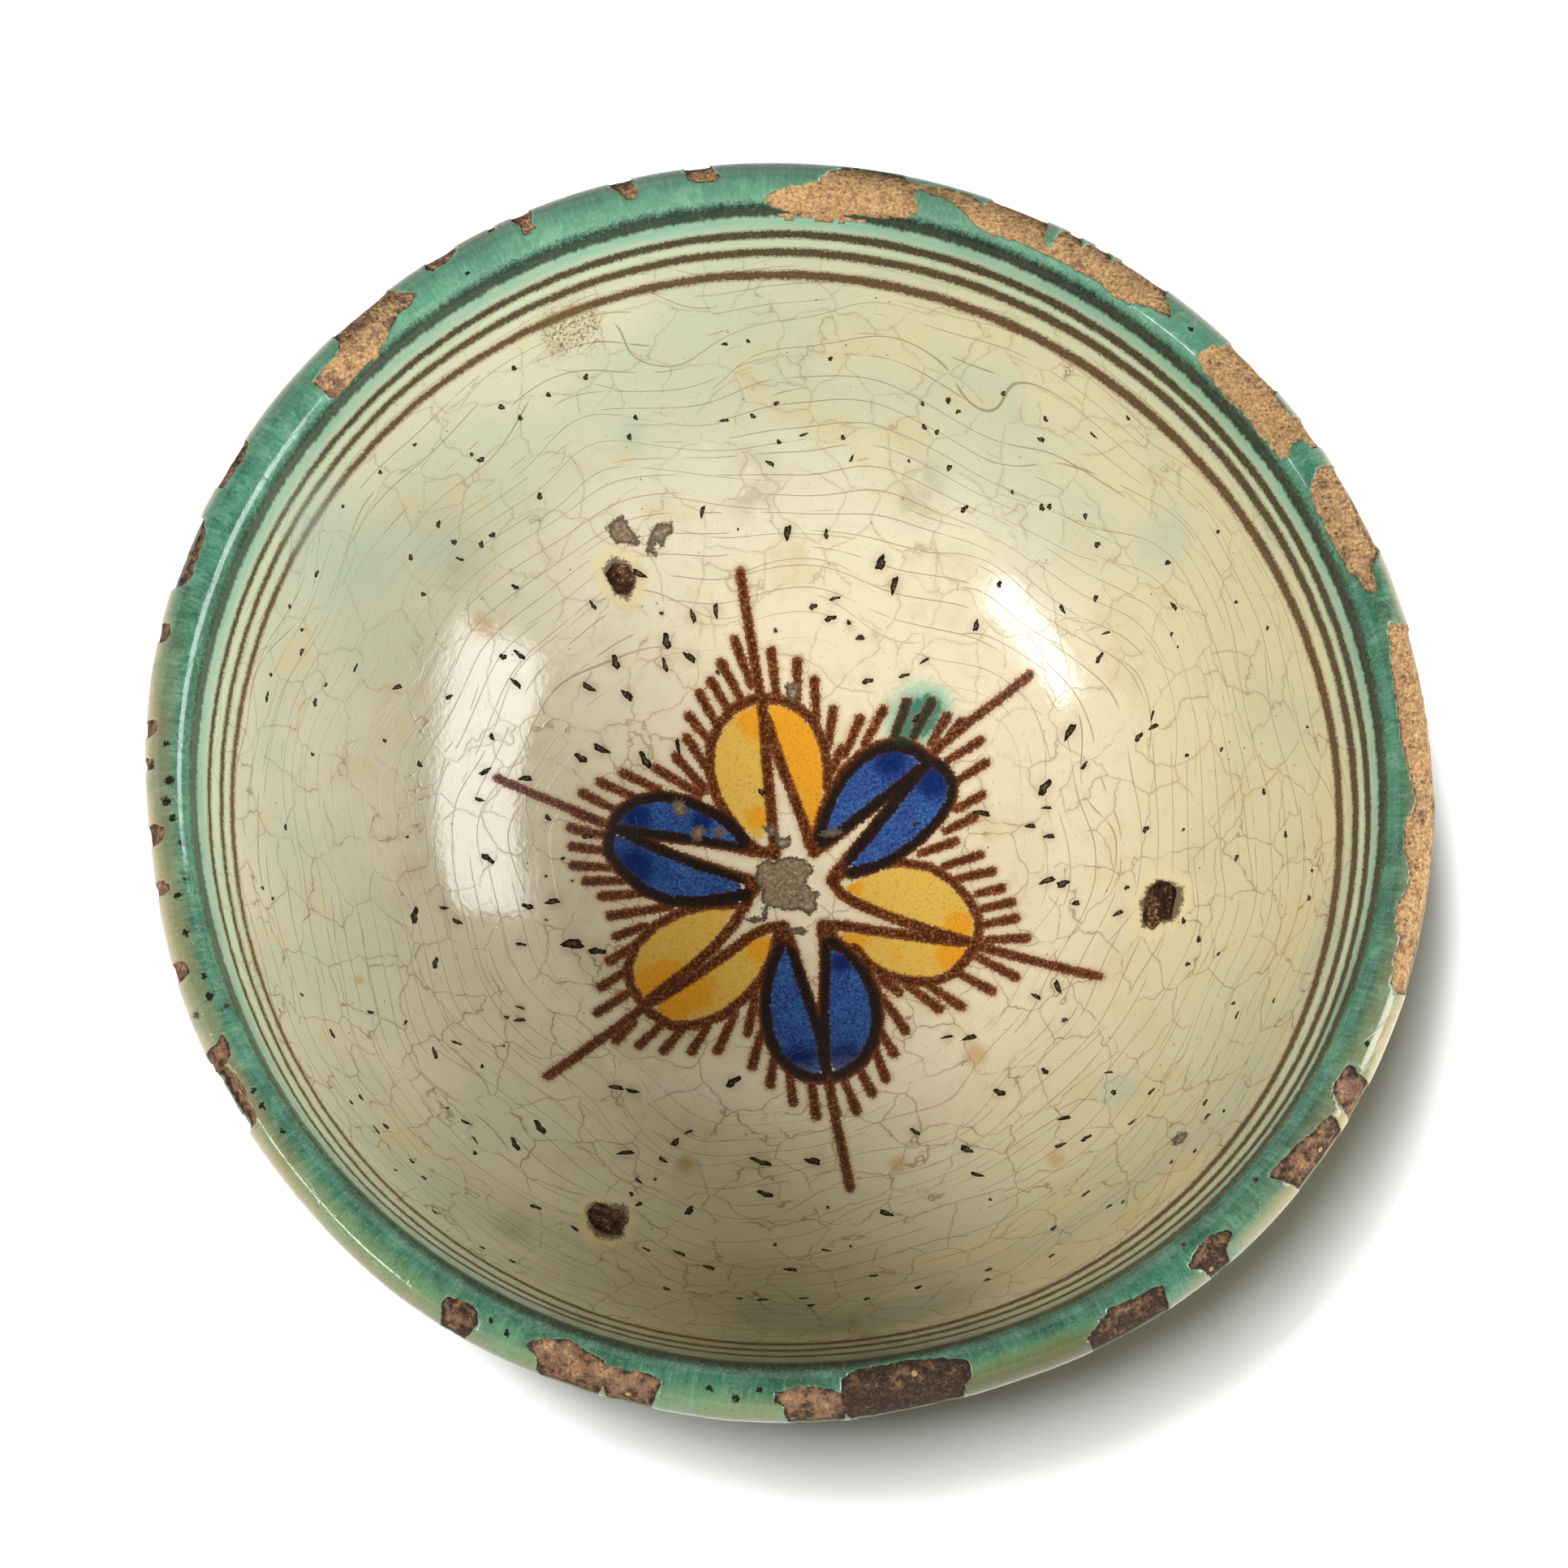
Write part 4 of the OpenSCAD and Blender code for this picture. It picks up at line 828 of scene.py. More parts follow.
    # fine turning marks round the bowl scatter the gloss
    mark_place = node("CombineXYZ", {0: node("Math", {0: angle, 1: 4.0}, operation="MULTIPLY"), 1: way})
    marks = node("TexNoise", {"Vector": mark_place, "Scale": 0.6, "Detail": 4.0, "Roughness": 0.7}, out="Fac")
    rough = node("MapRange", {"Value": marks, "From Min": 0.35, "From Max": 0.68, "To Min": 0.04, "To Max": 0.17})
    if painted:
        base, rough, dull = rosette_layers(node, place, base, rough, dull, field, grain, blotch, drift)
    else:
        base = rim_layers(node, base, field, grain, drift, ragged, right, back)

    # the skin's fine ripple breaks up the reflections
    peel = node("TexNoise", {"Vector": place, "Scale": 0.7, "Detail": 3.0}, out="Fac")
    relief = node("Math", {0: peel, 1: hair}, operation="SUBTRACT")
    skin = node("BsdfPrincipled", {
        "Base Color": base,
        "Roughness": node("Mix", {0: dull, 2: rough, 3: 0.40}),
        "Specular IOR Level": node("MapRange", {"Value": dull, "To Min": 0.5, "To Max": 0.16}),
        "Normal": node("Bump", {"Strength": 0.25, "Distance": 0.12 * MM, "Height": relief}),
        "IOR": 1.52,
    })
    node("OutputMaterial", {"Surface": skin}, out=None)
    return material


def clay_material(name, light, middle, soiled, dark):
    """Buff earthenware broken open: sandy, matt and porous, brown and black where dirt has gone in; on the bowl's
    body the soil also carries painted shade along the chips' edges.
    """
    material, node = new_material(name)
    place = place_mm(node)
    soil = node("Attribute", out="Fac", attribute_name="soil")
    patch, lump, sand = [
        node("TexNoise", {"Vector": place, "Scale": scale, "Detail": 5.0, "Roughness": 0.74}, out="Fac")
        for scale in (0.32, 0.6, 1.3)]
    grit = node("TexVoronoi", {"Vector": place, "Scale": 0.9}, out="Distance")
    crumb = node("TexVoronoi", {"Vector": place, "Scale": 0.3}, out=None).outputs
    picked = node("SeparateColor", {0: crumb["Color"]})
    shifted = node("Math", {0: soil, 1: -0.6}, operation="ADD")
    dirt = node("Math", {0: patch, 1: 2.2, 2: shifted}, operation="MULTIPLY_ADD")
    base = paint(node, srgb(light), [
        (0.50, middle, (patch, 0.44, 0.58)),
        (0.88, soiled, (dirt, 0.74, 1.10)),
        (0.92, dark, (dirt, 1.12, 1.55)),
        (0.60, "#f0d4a4", (sand, 0.51, 0.62), (dirt, 1.20, 0.80)),
        (0.60, middle, (lump, 0.51, 0.60), (dirt, 1.95, 1.30)),
        (0.80, light, (crumb["Distance"], 0.26, 0.18), (picked, 0.78, 0.84)),
        (0.45, soiled, (sand, 0.49, 0.40)),
        (0.70, dark, (lump, 0.43, 0.36)),
        (0.45, dark, (sand, 0.43, 0.34)),
        (0.65, dark, (grit, 0.16, 0.07)),
    ])
    relief = node("Math", {0: sand, 1: grit}, operation="ADD")
    bump = node("Bump", {"Strength": 1.0, "Distance": 0.6 * MM, "Height": relief})
    skin = node("BsdfPrincipled", {"Base Color": base, "Normal": bump, "Roughness": 0.9, "Specular IOR Level": 0.25})
    node("OutputMaterial", {"Surface": skin}, out=None)
    return material


def crust_material(name):
    """Dirt baked into a burst bubble: near black on the raised rim, grey-brown in the hollow."""
    material, node = new_material(name)
    place = place_mm(node)
    hollow = node("Attribute", out="Fac", attribute_name="hollow")
    crumbs = node("TexNoise", {"Vector": place, "Scale": 1.6, "Detail": 3.0, "Roughness": 0.7}, out="Fac")
    base = paint(node, srgb("#271c13"), [
        (0.80, "#7d6f5a", (hollow, 0.3, 1.0), (crumbs, 0.42, 0.60)),
        (0.55, "#5a4632", (crumbs, 0.52, 0.66)),
    ])
    skin = node("BsdfPrincipled", {"Base Color": base, "Roughness": 0.8, "Specular IOR Level": 0.15})
    node("OutputMaterial", {"Surface": skin}, out=None)
    return material


inner_glaze_paint = glaze_material("painted cream glaze", True)
rim_glaze_paint = glaze_material("copper green glaze", False)
body_clay = clay_material("buff earthenware", "#e2b47b", "#b5875c", "#846655", "#2b231f")
foot_clay = clay_material("turned earthenware", "#c79b6f", "#a98059", "#8a6848", "#5d4735")
slip_clay = clay_material("smeared slip", "#bd9468", "#9c7550", "#84633f", "#5d4735")
stilt_clay = clay_material("burnt stilt clay", "#7d5439", "#543624", "#3d2719", "#20150e")
bubble_crust = crust_material("baked bubble crust")


def green_edge(angle):
    """Way along the section where the green band begins: higher at the back, and most in front."""
    edge = GREEN_WAY + 0.5 * np.sin(angle - 0.6) + 0.35 * np.sin(3 * angle + 1.0)
    return edge + bumps(np.degrees(angle) % 360, GREEN_BUMPS)


def olive_share(way, angle):
    """How far the green has gone olive, mostly along the outer edge."""
    share = np.zeros(way.shape)
    for degrees, spread, reach in OLIVE_SECTORS:
        apart = (np.degrees(angle) - degrees + 180) % 360 - 180
        across = smooth(way, EDGE_WAY - 4 - 13 * reach, EDGE_WAY - 8 * reach)
        share = np.maximum(share, np.exp(-((apart / spread) ** 2)) * across)
    return share


def outside_rise(way, angle):
    """On the outside the green runs down in tongues: the way above their ends, counted as inside the bowl."""
    tongue = 13 + 9 * noise(round_place(angle), 13, 31, 3) + 5 * noise(round_place(angle), 4, 32, 2)
    return np.minimum(EDGE_WAY - GREEN_WAY, (EDGE_WAY + 2 + tongue - way) * 0.9)


def make_inner_glaze():
    """The floor and wall inside: an even net of small faces, fine under the painting."""
    half, fine, fine_way = 150, 112, 80.0
    i, j = np.meshgrid(np.arange(-half, half + 1), np.arange(-half, half + 1), indexing="ij")
    k = np.maximum(np.abs(i), np.abs(j))
    wide = np.abs(i) >= np.abs(j)
    over = np.where(wide, i, j)
    slope = np.where(over == 0, 0, np.where(wide, j, i) / np.where(over == 0, 1, over)) * math.pi / 4
    angle = np.where(wide, slope, math.pi / 2 - slope) + np.where(over < 0, math.pi, 0)
    angle = np.mod(angle, 2 * math.pi)
    outer_way = fine_way + (k - fine) * (SEAM_WAY - fine_way) / (half - fine)
    way = np.where(k <= fine, k * fine_way / fine, outer_way)
    flat = surface(way, angle)
    x, y = flat[..., 0], flat[..., 1]

    thick = 1.26 + 0.40 * np.cos(angle - math.radians(30))
    fields = {"rise": way - green_edge(angle), "way": way, "thick": thick}
    # the material lets the lines waver by a noise whose middle is 0.5
    for key, (_, drops) in LINES.items():
        fields[key] = way - GREEN_WAY + np.interp(np.degrees(angle), LINE_ANGLES, drops, period=360) - 0.5
    floor = way < FLOOR_WAY
    fx, fy = x[floor], y[floor]
    brown = np.full(fx.shape, CLEAR)
    for width, path in STROKES:
        brown = np.minimum(brown, line_distance(fx, fy, path, width + STROKE_SPREAD, width + STROKE_SPREAD))
    for rx, ry, tx, ty in LASHES:
        brown = np.minimum(brown, line_distance(fx, fy, [(rx, ry), (tx, ty)], LASH_ROOT_W, LASH_TIP_W))
    values = {"brown": brown}
    for key, outlines in (("yellow", YELLOW_FIELDS), ("blue", BLUE_FIELDS)):
        values[key] = np.min([outline_distance(fx, fy, corners) for corners in outlines], axis=0)
    for key, value in values.items():
        fields[key] = np.full(x.shape, CLEAR)
        fields[key][floor] = value
    fields["pit"] = np.zeros(x.shape)
    fields["pit"][floor] = spots(fx, fy, [(px, py, 0.6 + 0.75 * length) for px, py, length, *_ in PITS])
    fields["bare"] = np.min([outline_distance(x, y, corners) for corners in FLAKES], axis=0)
    fields["stilt"] = np.min([outline_distance(x - px, y - py, corners)
                              for px, py, _, corners in STILT_POINTS], axis=0)
    for key, places in SPOT_FIELDS.items():
        fields[key] = spots(x, y, places)

    # slack rings from throwing, a slow unevenness, and the steps down into the flakes
    lift = 0.05 * noise(flat, 24, 11, 2) + 0.02 * np.sin(way / 2.6 + angle)
    sunk = 1 - smooth(fields["bare"], -0.5, 0.2)
    lift = lift * smooth(SEAM_WAY - way, 0, 6) - sunk * (0.45 + 0.15 * noise(flat, 1.6, 12))
    index = np.arange(x.size).reshape(x.shape)
    faces = np.stack([index[:-1, :-1], index[1:, :-1], index[1:, 1:], index[:-1, 1:]], -1).reshape(-1, 4)
    piece = make_mesh("inner_glaze_painted", surface(way, angle, lift), faces, inner_glaze_paint, fields)
    # a flat map of the inside for the bake, with a narrow margin
    across = way / SEAM_WAY / 2.02
    spread = np.stack([0.5 + np.cos(angle) * across, 0.5 + np.sin(angle) * across], -1).reshape(-1, 2)
    layer = piece.data.uv_layers.new(name="OFBake")
    layer.data.foreach_set("uv", spread[faces.ravel()].astype(np.float32).ravel())
    return piece


def make_rim_glaze(end_way):
    """The green coat over the lip, broken off in chips whose edges stand up from the clay."""
    ways = np.concatenate([np.linspace(SEAM_WAY, LIP_WAY, 4)[:-1], np.linspace(LIP_WAY, EDGE_WAY + 10, 48)[:-1],
                           np.linspace(EDGE_WAY + 10, end_way, 9)])
    angles = np.arange(TURNS) * 2 * math.pi / TURNS
    way, angle = np.meshgrid(ways, angles, indexing="ij")
    into, _, _ = chip_fields(way, angle)
    # points close to a chip's outline are drawn onto it, so that the break has a clean edge
    row_mm = np.gradient(ways)[:, None]
    turn_mm = RIM_R * 2 * math.pi / TURNS
    wrapped = np.concatenate([into[:, -1:], into, into[:, :1]], axis=1)
    slope_way = np.gradient(into, axis=0) / row_mm
    slope_turn = np.gradient(wrapped, axis=1)[:, 1:-1] / turn_mm
    steep = np.maximum(slope_way ** 2 + slope_turn ** 2, 0.2)
    near = (np.abs(into) < 0.5) & (way > ways[2]) & (way < ways[-8])
    move = np.where(near, -into / steep, 0)
    most = 0.45  # of the distance to the next point
    way = way + np.clip(move * slope_way, -most * row_mm, most * row_mm)
    angle = angle + np.clip(move * slope_turn, -most * turn_mm, most * turn_mm) / RIM_R
    into = np.where(near, 0.0, into)

    points = surface(way, angle)
    lift = 0.10 * noise(points, 9, 21, 2) * smooth(way, SEAM_WAY + 1, LIP_WAY + 4) * smooth(end_way - way, 0, 6)
    points = surface(way, angle, lift).reshape(-1, 3)
    faces = ring_faces(len(ways), TURNS)
    kept = faces[into.ravel()[faces].max(axis=1) <= 0.0]
    # the break goes down to the clay
    sides = np.concatenate([kept[:, [a, (a + 1) % 4]] for a in range(4)])
    ordered = np.sort(sides, axis=1)
    keys = ordered[:, 0].astype(np.int64) * len(points) + ordered[:, 1]
    _, first, counts = np.unique(keys, return_index=True, return_counts=True)
    open_sides = sides[first[counts == 1]]
    last_row = (len(ways) - 1) * TURNS
    broken = open_sides[~((open_sides < TURNS).all(axis=1) | (open_sides >= last_row).all(axis=1))]
    ends = np.unique(broken)
    deep = surface(way.ravel()[ends], angle.ravel()[ends], -GLAZE_T - 0.25)
    lower = np.full(len(points), -1)
    lower[ends] = len(points) + np.arange(len(ends))
    skirt = np.stack([broken[:, 1], broken[:, 0], lower[broken[:, 0]], lower[broken[:, 1]]], -1)
    # points that no face uses any more are left out
    used, compact = np.unique(np.concatenate([kept, skirt]), return_inverse=True)
    points = np.concatenate([points, deep])
    edge = np.concatenate([np.zeros(last_row + TURNS), np.ones(len(ends))])
    edge[ends] = 0.5
    way, angle = [np.concatenate([value.ravel(), value.ravel()[ends]]) for value in (way, angle)]
    rise = np.where(way > EDGE_WAY, outside_rise(way, angle), way - green_edge(angle))
    places = [(r * math.cos(math.radians(a)), r * math.sin(math.radians(a)), reach) for a, r, reach in SCORCHES]
    fields = {"rise": rise, "way": way, "edge": edge, "olive": olive_share(way, angle),
              "scorch": spots(points[:, 0], points[:, 1], places)}
    return make_mesh("rim_glaze_green", points[used], compact.reshape(-1, 4), rim_glaze_paint,
                     {key: value[used] for key, value in fields.items()})


def make_outer_glaze(start_way):
    """The coat outside: it ends in a wandering, rounded edge where the bowl was held for dipping."""
    angles = np.arange(TURNS) * 2 * math.pi / TURNS
    dip = 67 - 3.5 * np.sin(3 * angles) - 2.5 * np.sin(7 * angles + 0.9) + 1.2 * noise(round_place(angles), 9, 41)
    foot_way = WAY_END - COAT_R * np.arcsin(dip / COAT_R)
    share = np.linspace(0, 1, 58)[:, None]
    way = start_way + (foot_way[None, :] - start_way) * share
    angle = np.broadcast_to(angles[None, :], way.shape)
    points = surface(way, angle)
    from_edge = foot_way[None, :] - way
    marks = 0.10 * np.sin(points[..., 2] / 2.1 + angle) + 0.05 * np.sin(points[..., 2] / 0.9 + 2 * angle)
    lift = (0.12 * noise(points, 26, 42, 2) + marks) * smooth(way - start_way, 0, 6) * smooth(from_edge, 0, 8)
    lift = lift + 0.5 * np.exp(-(((from_edge - 2.2) / 1.6) ** 2))
    rows = [surface(way, angle, lift)]
    # the rounded edge turns under to the clay
    turned_under = ((0.35, -0.15), (0.4, -0.45), (0.1, -0.75))
    for out, low in turned_under:
        rows.append(surface(foot_way + out, angles, low)[None])
    points = np.concatenate(rows)
    all_way = np.concatenate([way, np.broadcast_to(foot_way, (len(turned_under), TURNS))])
    all_angle = np.broadcast_to(angles, all_way.shape)
    fields = {"rise": outside_rise(all_way, all_angle), "way": all_way, "olive": olive_share(all_way, all_angle)}
    return make_mesh("outer_glaze_dipped", points, ring_faces(len(points), TURNS), rim_glaze_paint, fields)


def make_clay_body():
    """The thrown clay under the coats: rough and scooped in the chips, turned and bare round the foot."""
    turns = 1000
    ways = np.concatenate([
        np.linspace(1.5, 158, 8), np.linspace(166, LIP_WAY - 4, 4), np.linspace(LIP_WAY - 3, EDGE_WAY + 14, 48),
        np.linspace(EDGE_WAY + 18, WAY_END - 76, 9), np.linspace(WAY_END - 72, WAY_END - 1.5, 28)])
    angles = np.arange(turns) * 2 * math.pi / turns
    way, angle = np.meshgrid(ways, angles, indexing="ij")
    into, soil, depth = chip_fields(way, angle)
    points = surface(way, angle)
    scoop = np.clip(into, 0, None) * np.where(depth > 2, 2.2, 0.35)
    scoop = depth * (1 - np.exp(-scoop / np.maximum(depth, 0.1)))
    rough = (0.12 * noise(points, 3.5, 51) + 0.12 * noise(points, 1.1, 52, 2)) * smooth(into, -0.2, 0.8)
    below = smooth(way, EDGE_WAY + 24, EDGE_WAY + 40)
    at_lip = smooth(way, LIP_WAY - 14, LIP_WAY - 9) * (1 - smooth(way, EDGE_WAY + 14, EDGE_WAY + 20))
    turned = 0.12 * np.sin(np.hypot(points[..., 0], points[..., 1]) / 1.15) + 0.08 * noise(points, 2.0, 53)
    # well under the coats where they hide it, and close under them at the lip and round the foot
    sunk = 0.8 + 0.8 * (1 - smooth(way, 158, 166)) - 0.52 * at_lip - 0.2 * below
    points = surface(way, angle, rough + below * turned - scoop - sunk)
    # the clay is darkened along the chips' outlines, where the glaze steps down, and towards the lip's outer edge,
    # most in front: partly dirt, partly painted shade
    grime_and_shade = 0.35 * (1 - smooth(into, 0.0, 1.1)) + 0.3 * smooth(way, LIP_WAY + 8, EDGE_WAY)
    grime_and_shade = grime_and_shade * (1 - 0.6 * smooth(np.sin(angle), -0.3, 0.5))
    soil = np.where(into > -1, soil + 0.22 * noise(points, 5, 54) + grime_and_shade, 0.25 + 0.15 * noise(points, 12, 55))
    middle = np.array([[0, 0, points[0, :, 2].mean()], [0, 0, points[-1, :, 2].mean()]])
    count = len(ways) * turns
    ring = np.arange(turns)
    after = (ring + 1) % turns
    inside_cap = np.stack([np.full(turns, count), ring, after], -1)
    under_cap = np.stack([np.full(turns, count + 1), after + count - turns, ring + count - turns], -1)
    faces = triangles(ring_faces(len(ways), turns), inside_cap, under_cap)
    points = np.concatenate([points.reshape(-1, 3), middle])
    return make_mesh("clay_body_thrown", points, faces, body_clay, {"soil": np.append(soil.ravel(), [0.3, 0.3])})


def make_turned(name, section, material, seed, wear, turns=480):
    """A turned ring from a closed section of radii and heights, with tool marks and wear."""
    section = np.array(section, float)
    walked = walk_round(section)
    count = len(walked)
    angles = np.arange(turns) * 2 * math.pi / turns
    angle, row = np.meshgrid(angles, np.arange(count), indexing="ij")
    r, z = walked[row, 0], walked[row, 1]
    points = np.stack([r * np.cos(angle), r * np.sin(angle), z], -1)
    worn = wear * (0.7 * noise(points, 5, seed) + 0.5 * noise(points, 1.6, seed + 1))
    marks = 0.10 * np.sin(z / 0.55 + 0.6 * np.sin(angle))
    out = np.stack([r, z], -1) - section.mean(axis=0)
    out /= np.linalg.norm(out, axis=-1, keepdims=True)
    # the face that it stands on stays flat
    lift = (marks - np.abs(worn) - 0.1) * smooth(z, 0.2, 1.6)
    r, z_worn = r + out[..., 0] * lift, z + out[..., 1] * lift
    points = np.stack([r * np.cos(angle), r * np.sin(angle), z_worn], -1)
    index = np.arange(angle.size).reshape(angle.shape)
    a, b = np.roll(index, -1, axis=0), np.roll(index, -1, axis=1)
    faces = np.stack([index, a, np.roll(a, -1, axis=1), b], -1).reshape(-1, 4)
    soil = 0.25 + 0.5 * (1 - smooth(z, 0.0, 2.2)) + 0.2 * noise(points, 7, seed + 2)
    return make_mesh(name, points, faces, material, {"soil": soil})


def under_z(r):
    """Height of the clay's underside at a distance from the axis."""
    return BOWL_Z - math.sqrt((COAT_R - GLAZE_T) ** 2 - r ** 2)


def make_foot():
    """The foot ring and the slip that joins it to the bowl."""
    steps = [math.radians(a) for a in (0, 22, 45, 68, 90)]
    inner = [(FOOT_IN + FOOT_ROUND * (1 - math.sin(a)), FOOT_ROUND * (1 - math.cos(a))) for a in steps]
    outer = [(FOOT_OUT - FOOT_ROUND * (1 - math.sin(a)), FOOT_ROUND * (1 - math.cos(a))) for a in steps]
    top_in, top_out = under_z(FOOT_IN), under_z(FOOT_OUT)
    ring = inner[::-1] + outer + [(FOOT_OUT, 8.0), (FOOT_OUT - 0.4, 12.0), (FOOT_OUT, top_out), (FOOT_IN, top_in),
                                  (FOOT_IN + 0.3, 8.0)]
    foot = make_turned("foot_ring_turned", ring, foot_clay, 61, 0.22)
    spread, half_way, thick = 3.0, 1.2, 3.8
    fillet = [
        (FOOT_IN - spread, under_z(FOOT_IN - spread) + 0.5),
        (FOOT_IN - half_way, under_z(FOOT_IN - half_way) - 1.0),
        (FOOT_IN - 0.2, top_in - thick),
        (FOOT_OUT + 0.2, top_out - thick),
        (FOOT_OUT + half_way, under_z(FOOT_OUT + half_way) - 1.0),
        (FOOT_OUT + spread, under_z(FOOT_OUT + spread) + 0.5),
        (FOOT_OUT, top_out + 1.5),
        (FOOT_IN, top_in + 1.5),
    ]
    slip = make_turned("luting_slip_smeared", fillet, slip_clay, 71, 0.3)
    return foot, slip


def stand_on(x, y, turn):
    """Where a mark stands on the inside: its place in millimetres, and its turn with the long way along turn."""
    angle, r = math.atan2(y, x) % (2 * math.pi), math.hypot(x, y)
    true_r = r - oval(angle, 150.0, 100.0) * smooth(r, 60, 122)
    way = BOWL_R * math.asin(min(true_r / BOWL_R, 1))
    here = surface(way, angle)
    up = Vector(surface(way, angle, 1.0) - here)
    along = Vector((math.cos(turn), math.sin(turn), 0))
    along = (along - up * along.dot(up)).normalized()
    return here, Matrix((along, up.cross(along), up)).transposed()


def make_craters():
    """Three shapes of a raised crater, each about a millimetre across; hollow is 1 in the middle."""
    craters = []
    around = 14
    turn = np.arange(around) * 2 * math.pi / around
    for variant in range(3):
        shape = 0.5 * (1 + 0.18 * np.sin(2 * turn + variant) + 0.16 * np.sin(3 * turn + 2.1 * variant)
                       + 0.14 * np.sin(5 * turn - variant))
        rows, hollow = [], []
        for share, height, deep in CRATER_RINGS:
            r = share * shape
            rows.append(np.stack([r * np.cos(turn), r * np.sin(turn), np.full(around, height)], -1))
            hollow += [deep] * around
        points = np.concatenate(rows + [[[0, 0, CRATER_RINGS[-1][1]]]])
        faces = mound_faces(len(rows), around)
        craters.append(make_mesh(f"crater_{variant}", points, faces, bubble_crust, {"hollow": hollow + [1]}))
    return craters


def make_pits():
    """Burst bubbles: small raised craters set on the glaze at the places read from the photo."""
    craters = make_craters()
    places, turns, sizes = [], [], []
    for number, (x, y, length, *lean) in enumerate(PITS):
        towards_rosette = math.atan2(y + 3, x - 1) + 0.35 * math.sin(number * 2.4)
        here, turn = stand_on(x, y, math.radians(lean[0]) if lean else towards_rosette)
        places.append(here)
        turns.append(turn.to_euler())
        # short ones are near round, and long ones are slim
        width = length * (0.85 if length < 1.8 else 0.46 + 0.12 * math.sin(number * 1.7))
        sizes.append((length * PIT_GROW, width * PIT_GROW, 1.0))
    mesh = bpy.data.meshes.new("burst_bubbles")
    mesh.from_pydata([tuple(np.array(p) * MM) for p in places], [], [])
    for key, rows in (("turn", turns), ("size", sizes)):
        layer = mesh.attributes.new(key, "FLOAT_VECTOR", "POINT")
        layer.data.foreach_set("vector", np.array(rows, np.float32).ravel())
    piece = place_object("burst_bubbles", mesh)

    tree = bpy.data.node_groups.new("bubbles on the glaze", "GeometryNodeTree")
    names = [("Places", "INPUT", "Geometry"), ("Crater 1", "INPUT", "Object"), ("Crater 2", "INPUT", "Object"),
             ("Crater 3", "INPUT", "Object"), ("Seed", "INPUT", "Int"), ("Bubbles", "OUTPUT", "Geometry")]
    sockets = {key: tree.interface.new_socket(key, in_out=way, socket_type="NodeSocket" + kind)
               for key, way, kind in names}
    group = add(tree, "NodeGroupInput", out=None).outputs
    shapes = add(tree, "GeometryNodeJoinGeometry", out=None)
    for k in (3, 2, 1):
        shape_in = {"Object": group[f"Crater {k}"], "As Instance": True}
        tree.links.new(add(tree, "GeometryNodeObjectInfo", shape_in, out="Geometry"), shapes.inputs[0])
    pick = add(tree, "FunctionNodeRandomValue", {4: 0, 5: 2, "Seed": group["Seed"]}, out=2, data_type="INT")
    turn, size = [add(tree, "GeometryNodeInputNamedAttribute", {"Name": key}, data_type="FLOAT_VECTOR")
                  for key in ("turn", "size")]
    copies = add(tree, "GeometryNodeInstanceOnPoints", {
        "Points": group["Places"], "Instance": shapes.outputs[0], "Pick Instance": True, "Instance Index": pick,
        "Rotation": turn, "Scale": size})
    solid = add(tree, "GeometryNodeRealizeInstances", {0: copies})
    dressed = add(tree, "GeometryNodeSetMaterial", {"Geometry": solid, "Material": bubble_crust})
    add(tree, "NodeGroupOutput", {0: dressed}, out=None)
    modifier = piece.modifiers.new("bubbles", "NODES")
    modifier.node_group = tree
    for k, crater in enumerate(craters):
        modifier[sockets[f"Crater {k + 1}"].identifier] = crater
    modifier[sockets["Seed"].identifier] = PIT_SEED
    settled = bpy.data.meshes.new_from_object(piece.evaluated_get(bpy.context.evaluated_depsgraph_get()))
    piece.modifiers.clear()
    piece.data = settled
    settled.polygons.foreach_set("use_smooth", np.ones(len(settled.polygons), bool))
    for crater in craters:
        bpy.data.objects.remove(crater)
    return piece


def make_stilt_points():
    """The three points of the kiln stilt, broken off and stuck in the glaze."""
    pieces = []
    around = 30
    for number, (x, y, height, outline) in enumerate(STILT_POINTS):
        here, turn = stand_on(x, y, 0.0)
        rim = walk_round(np.array(outline, float), around)
        rows = []
        for share, level in STILT_RINGS:
            flat = np.column_stack([rim * share, np.zeros(around)]) + number * 40
            jag = noise(flat, 3.0, 81) * 0.7 + noise(flat, 1.1, 82) * 0.5
            jagged = level * height + jag * height * min(share + 0.2, 1) * (level > 0)
            rows.append(np.column_stack([rim * share * (1.05 + 0.12 * jag[:, None]), jagged]))
        local = np.concatenate(rows + [[[0, 0, 0.8 * height]]])
        soil = 0.5 + 0.6 * noise(local + 9 * number, 2.4, 83)
        pieces.append(make_mesh(f"stilt_point_{number + 1}", local @ np.array(turn).T + here,
                                mound_faces(len(rows), around), stilt_clay, {"soil": soil}, flat=True))
    return pieces


skirt_way = EDGE_WAY + 20
inner = make_inner_glaze()
rim = make_rim_glaze(skirt_way)
outer = make_outer_glaze(skirt_way)
body = make_clay_body()
foot, slip = make_foot()
pits = make_pits()
stilts = make_stilt_points()

shown = [
    (inner, "cream_glaze", [
        "inner_glaze", "rim_line_1", "rim_line_2", "rim_line_3", "rim_line_4", "yellow_petal_back",
        "blue_petal_right", "yellow_petal_right", "blue_petal_front", "yellow_petal_left", "blue_petal_left",
        "petal_outlines", "petal_rays", "petal_lashes"]),
    (rim, "green_glaze", ["rim_glaze"]),
    (outer, "outer_glaze", ["outer_glaze"]),
    (body, "clay", ["clay_body"]),
    (foot, "clay", ["foot_ring"]),
    (slip, "slip", ["luting_slip"]),
    (pits, "cream_glaze", []),
] + [(piece, "clay", []) for piece in stilts]
for piece, slot_name, nodes in shown:
    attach(piece, "root")
    if nodes:
        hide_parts(*nodes)


def look_from(place, target):
    """A turn that points an object's -Z from one place at another."""
    return (Vector(target) - Vector(place)).to_track_quat("-Z", "Y").to_euler()


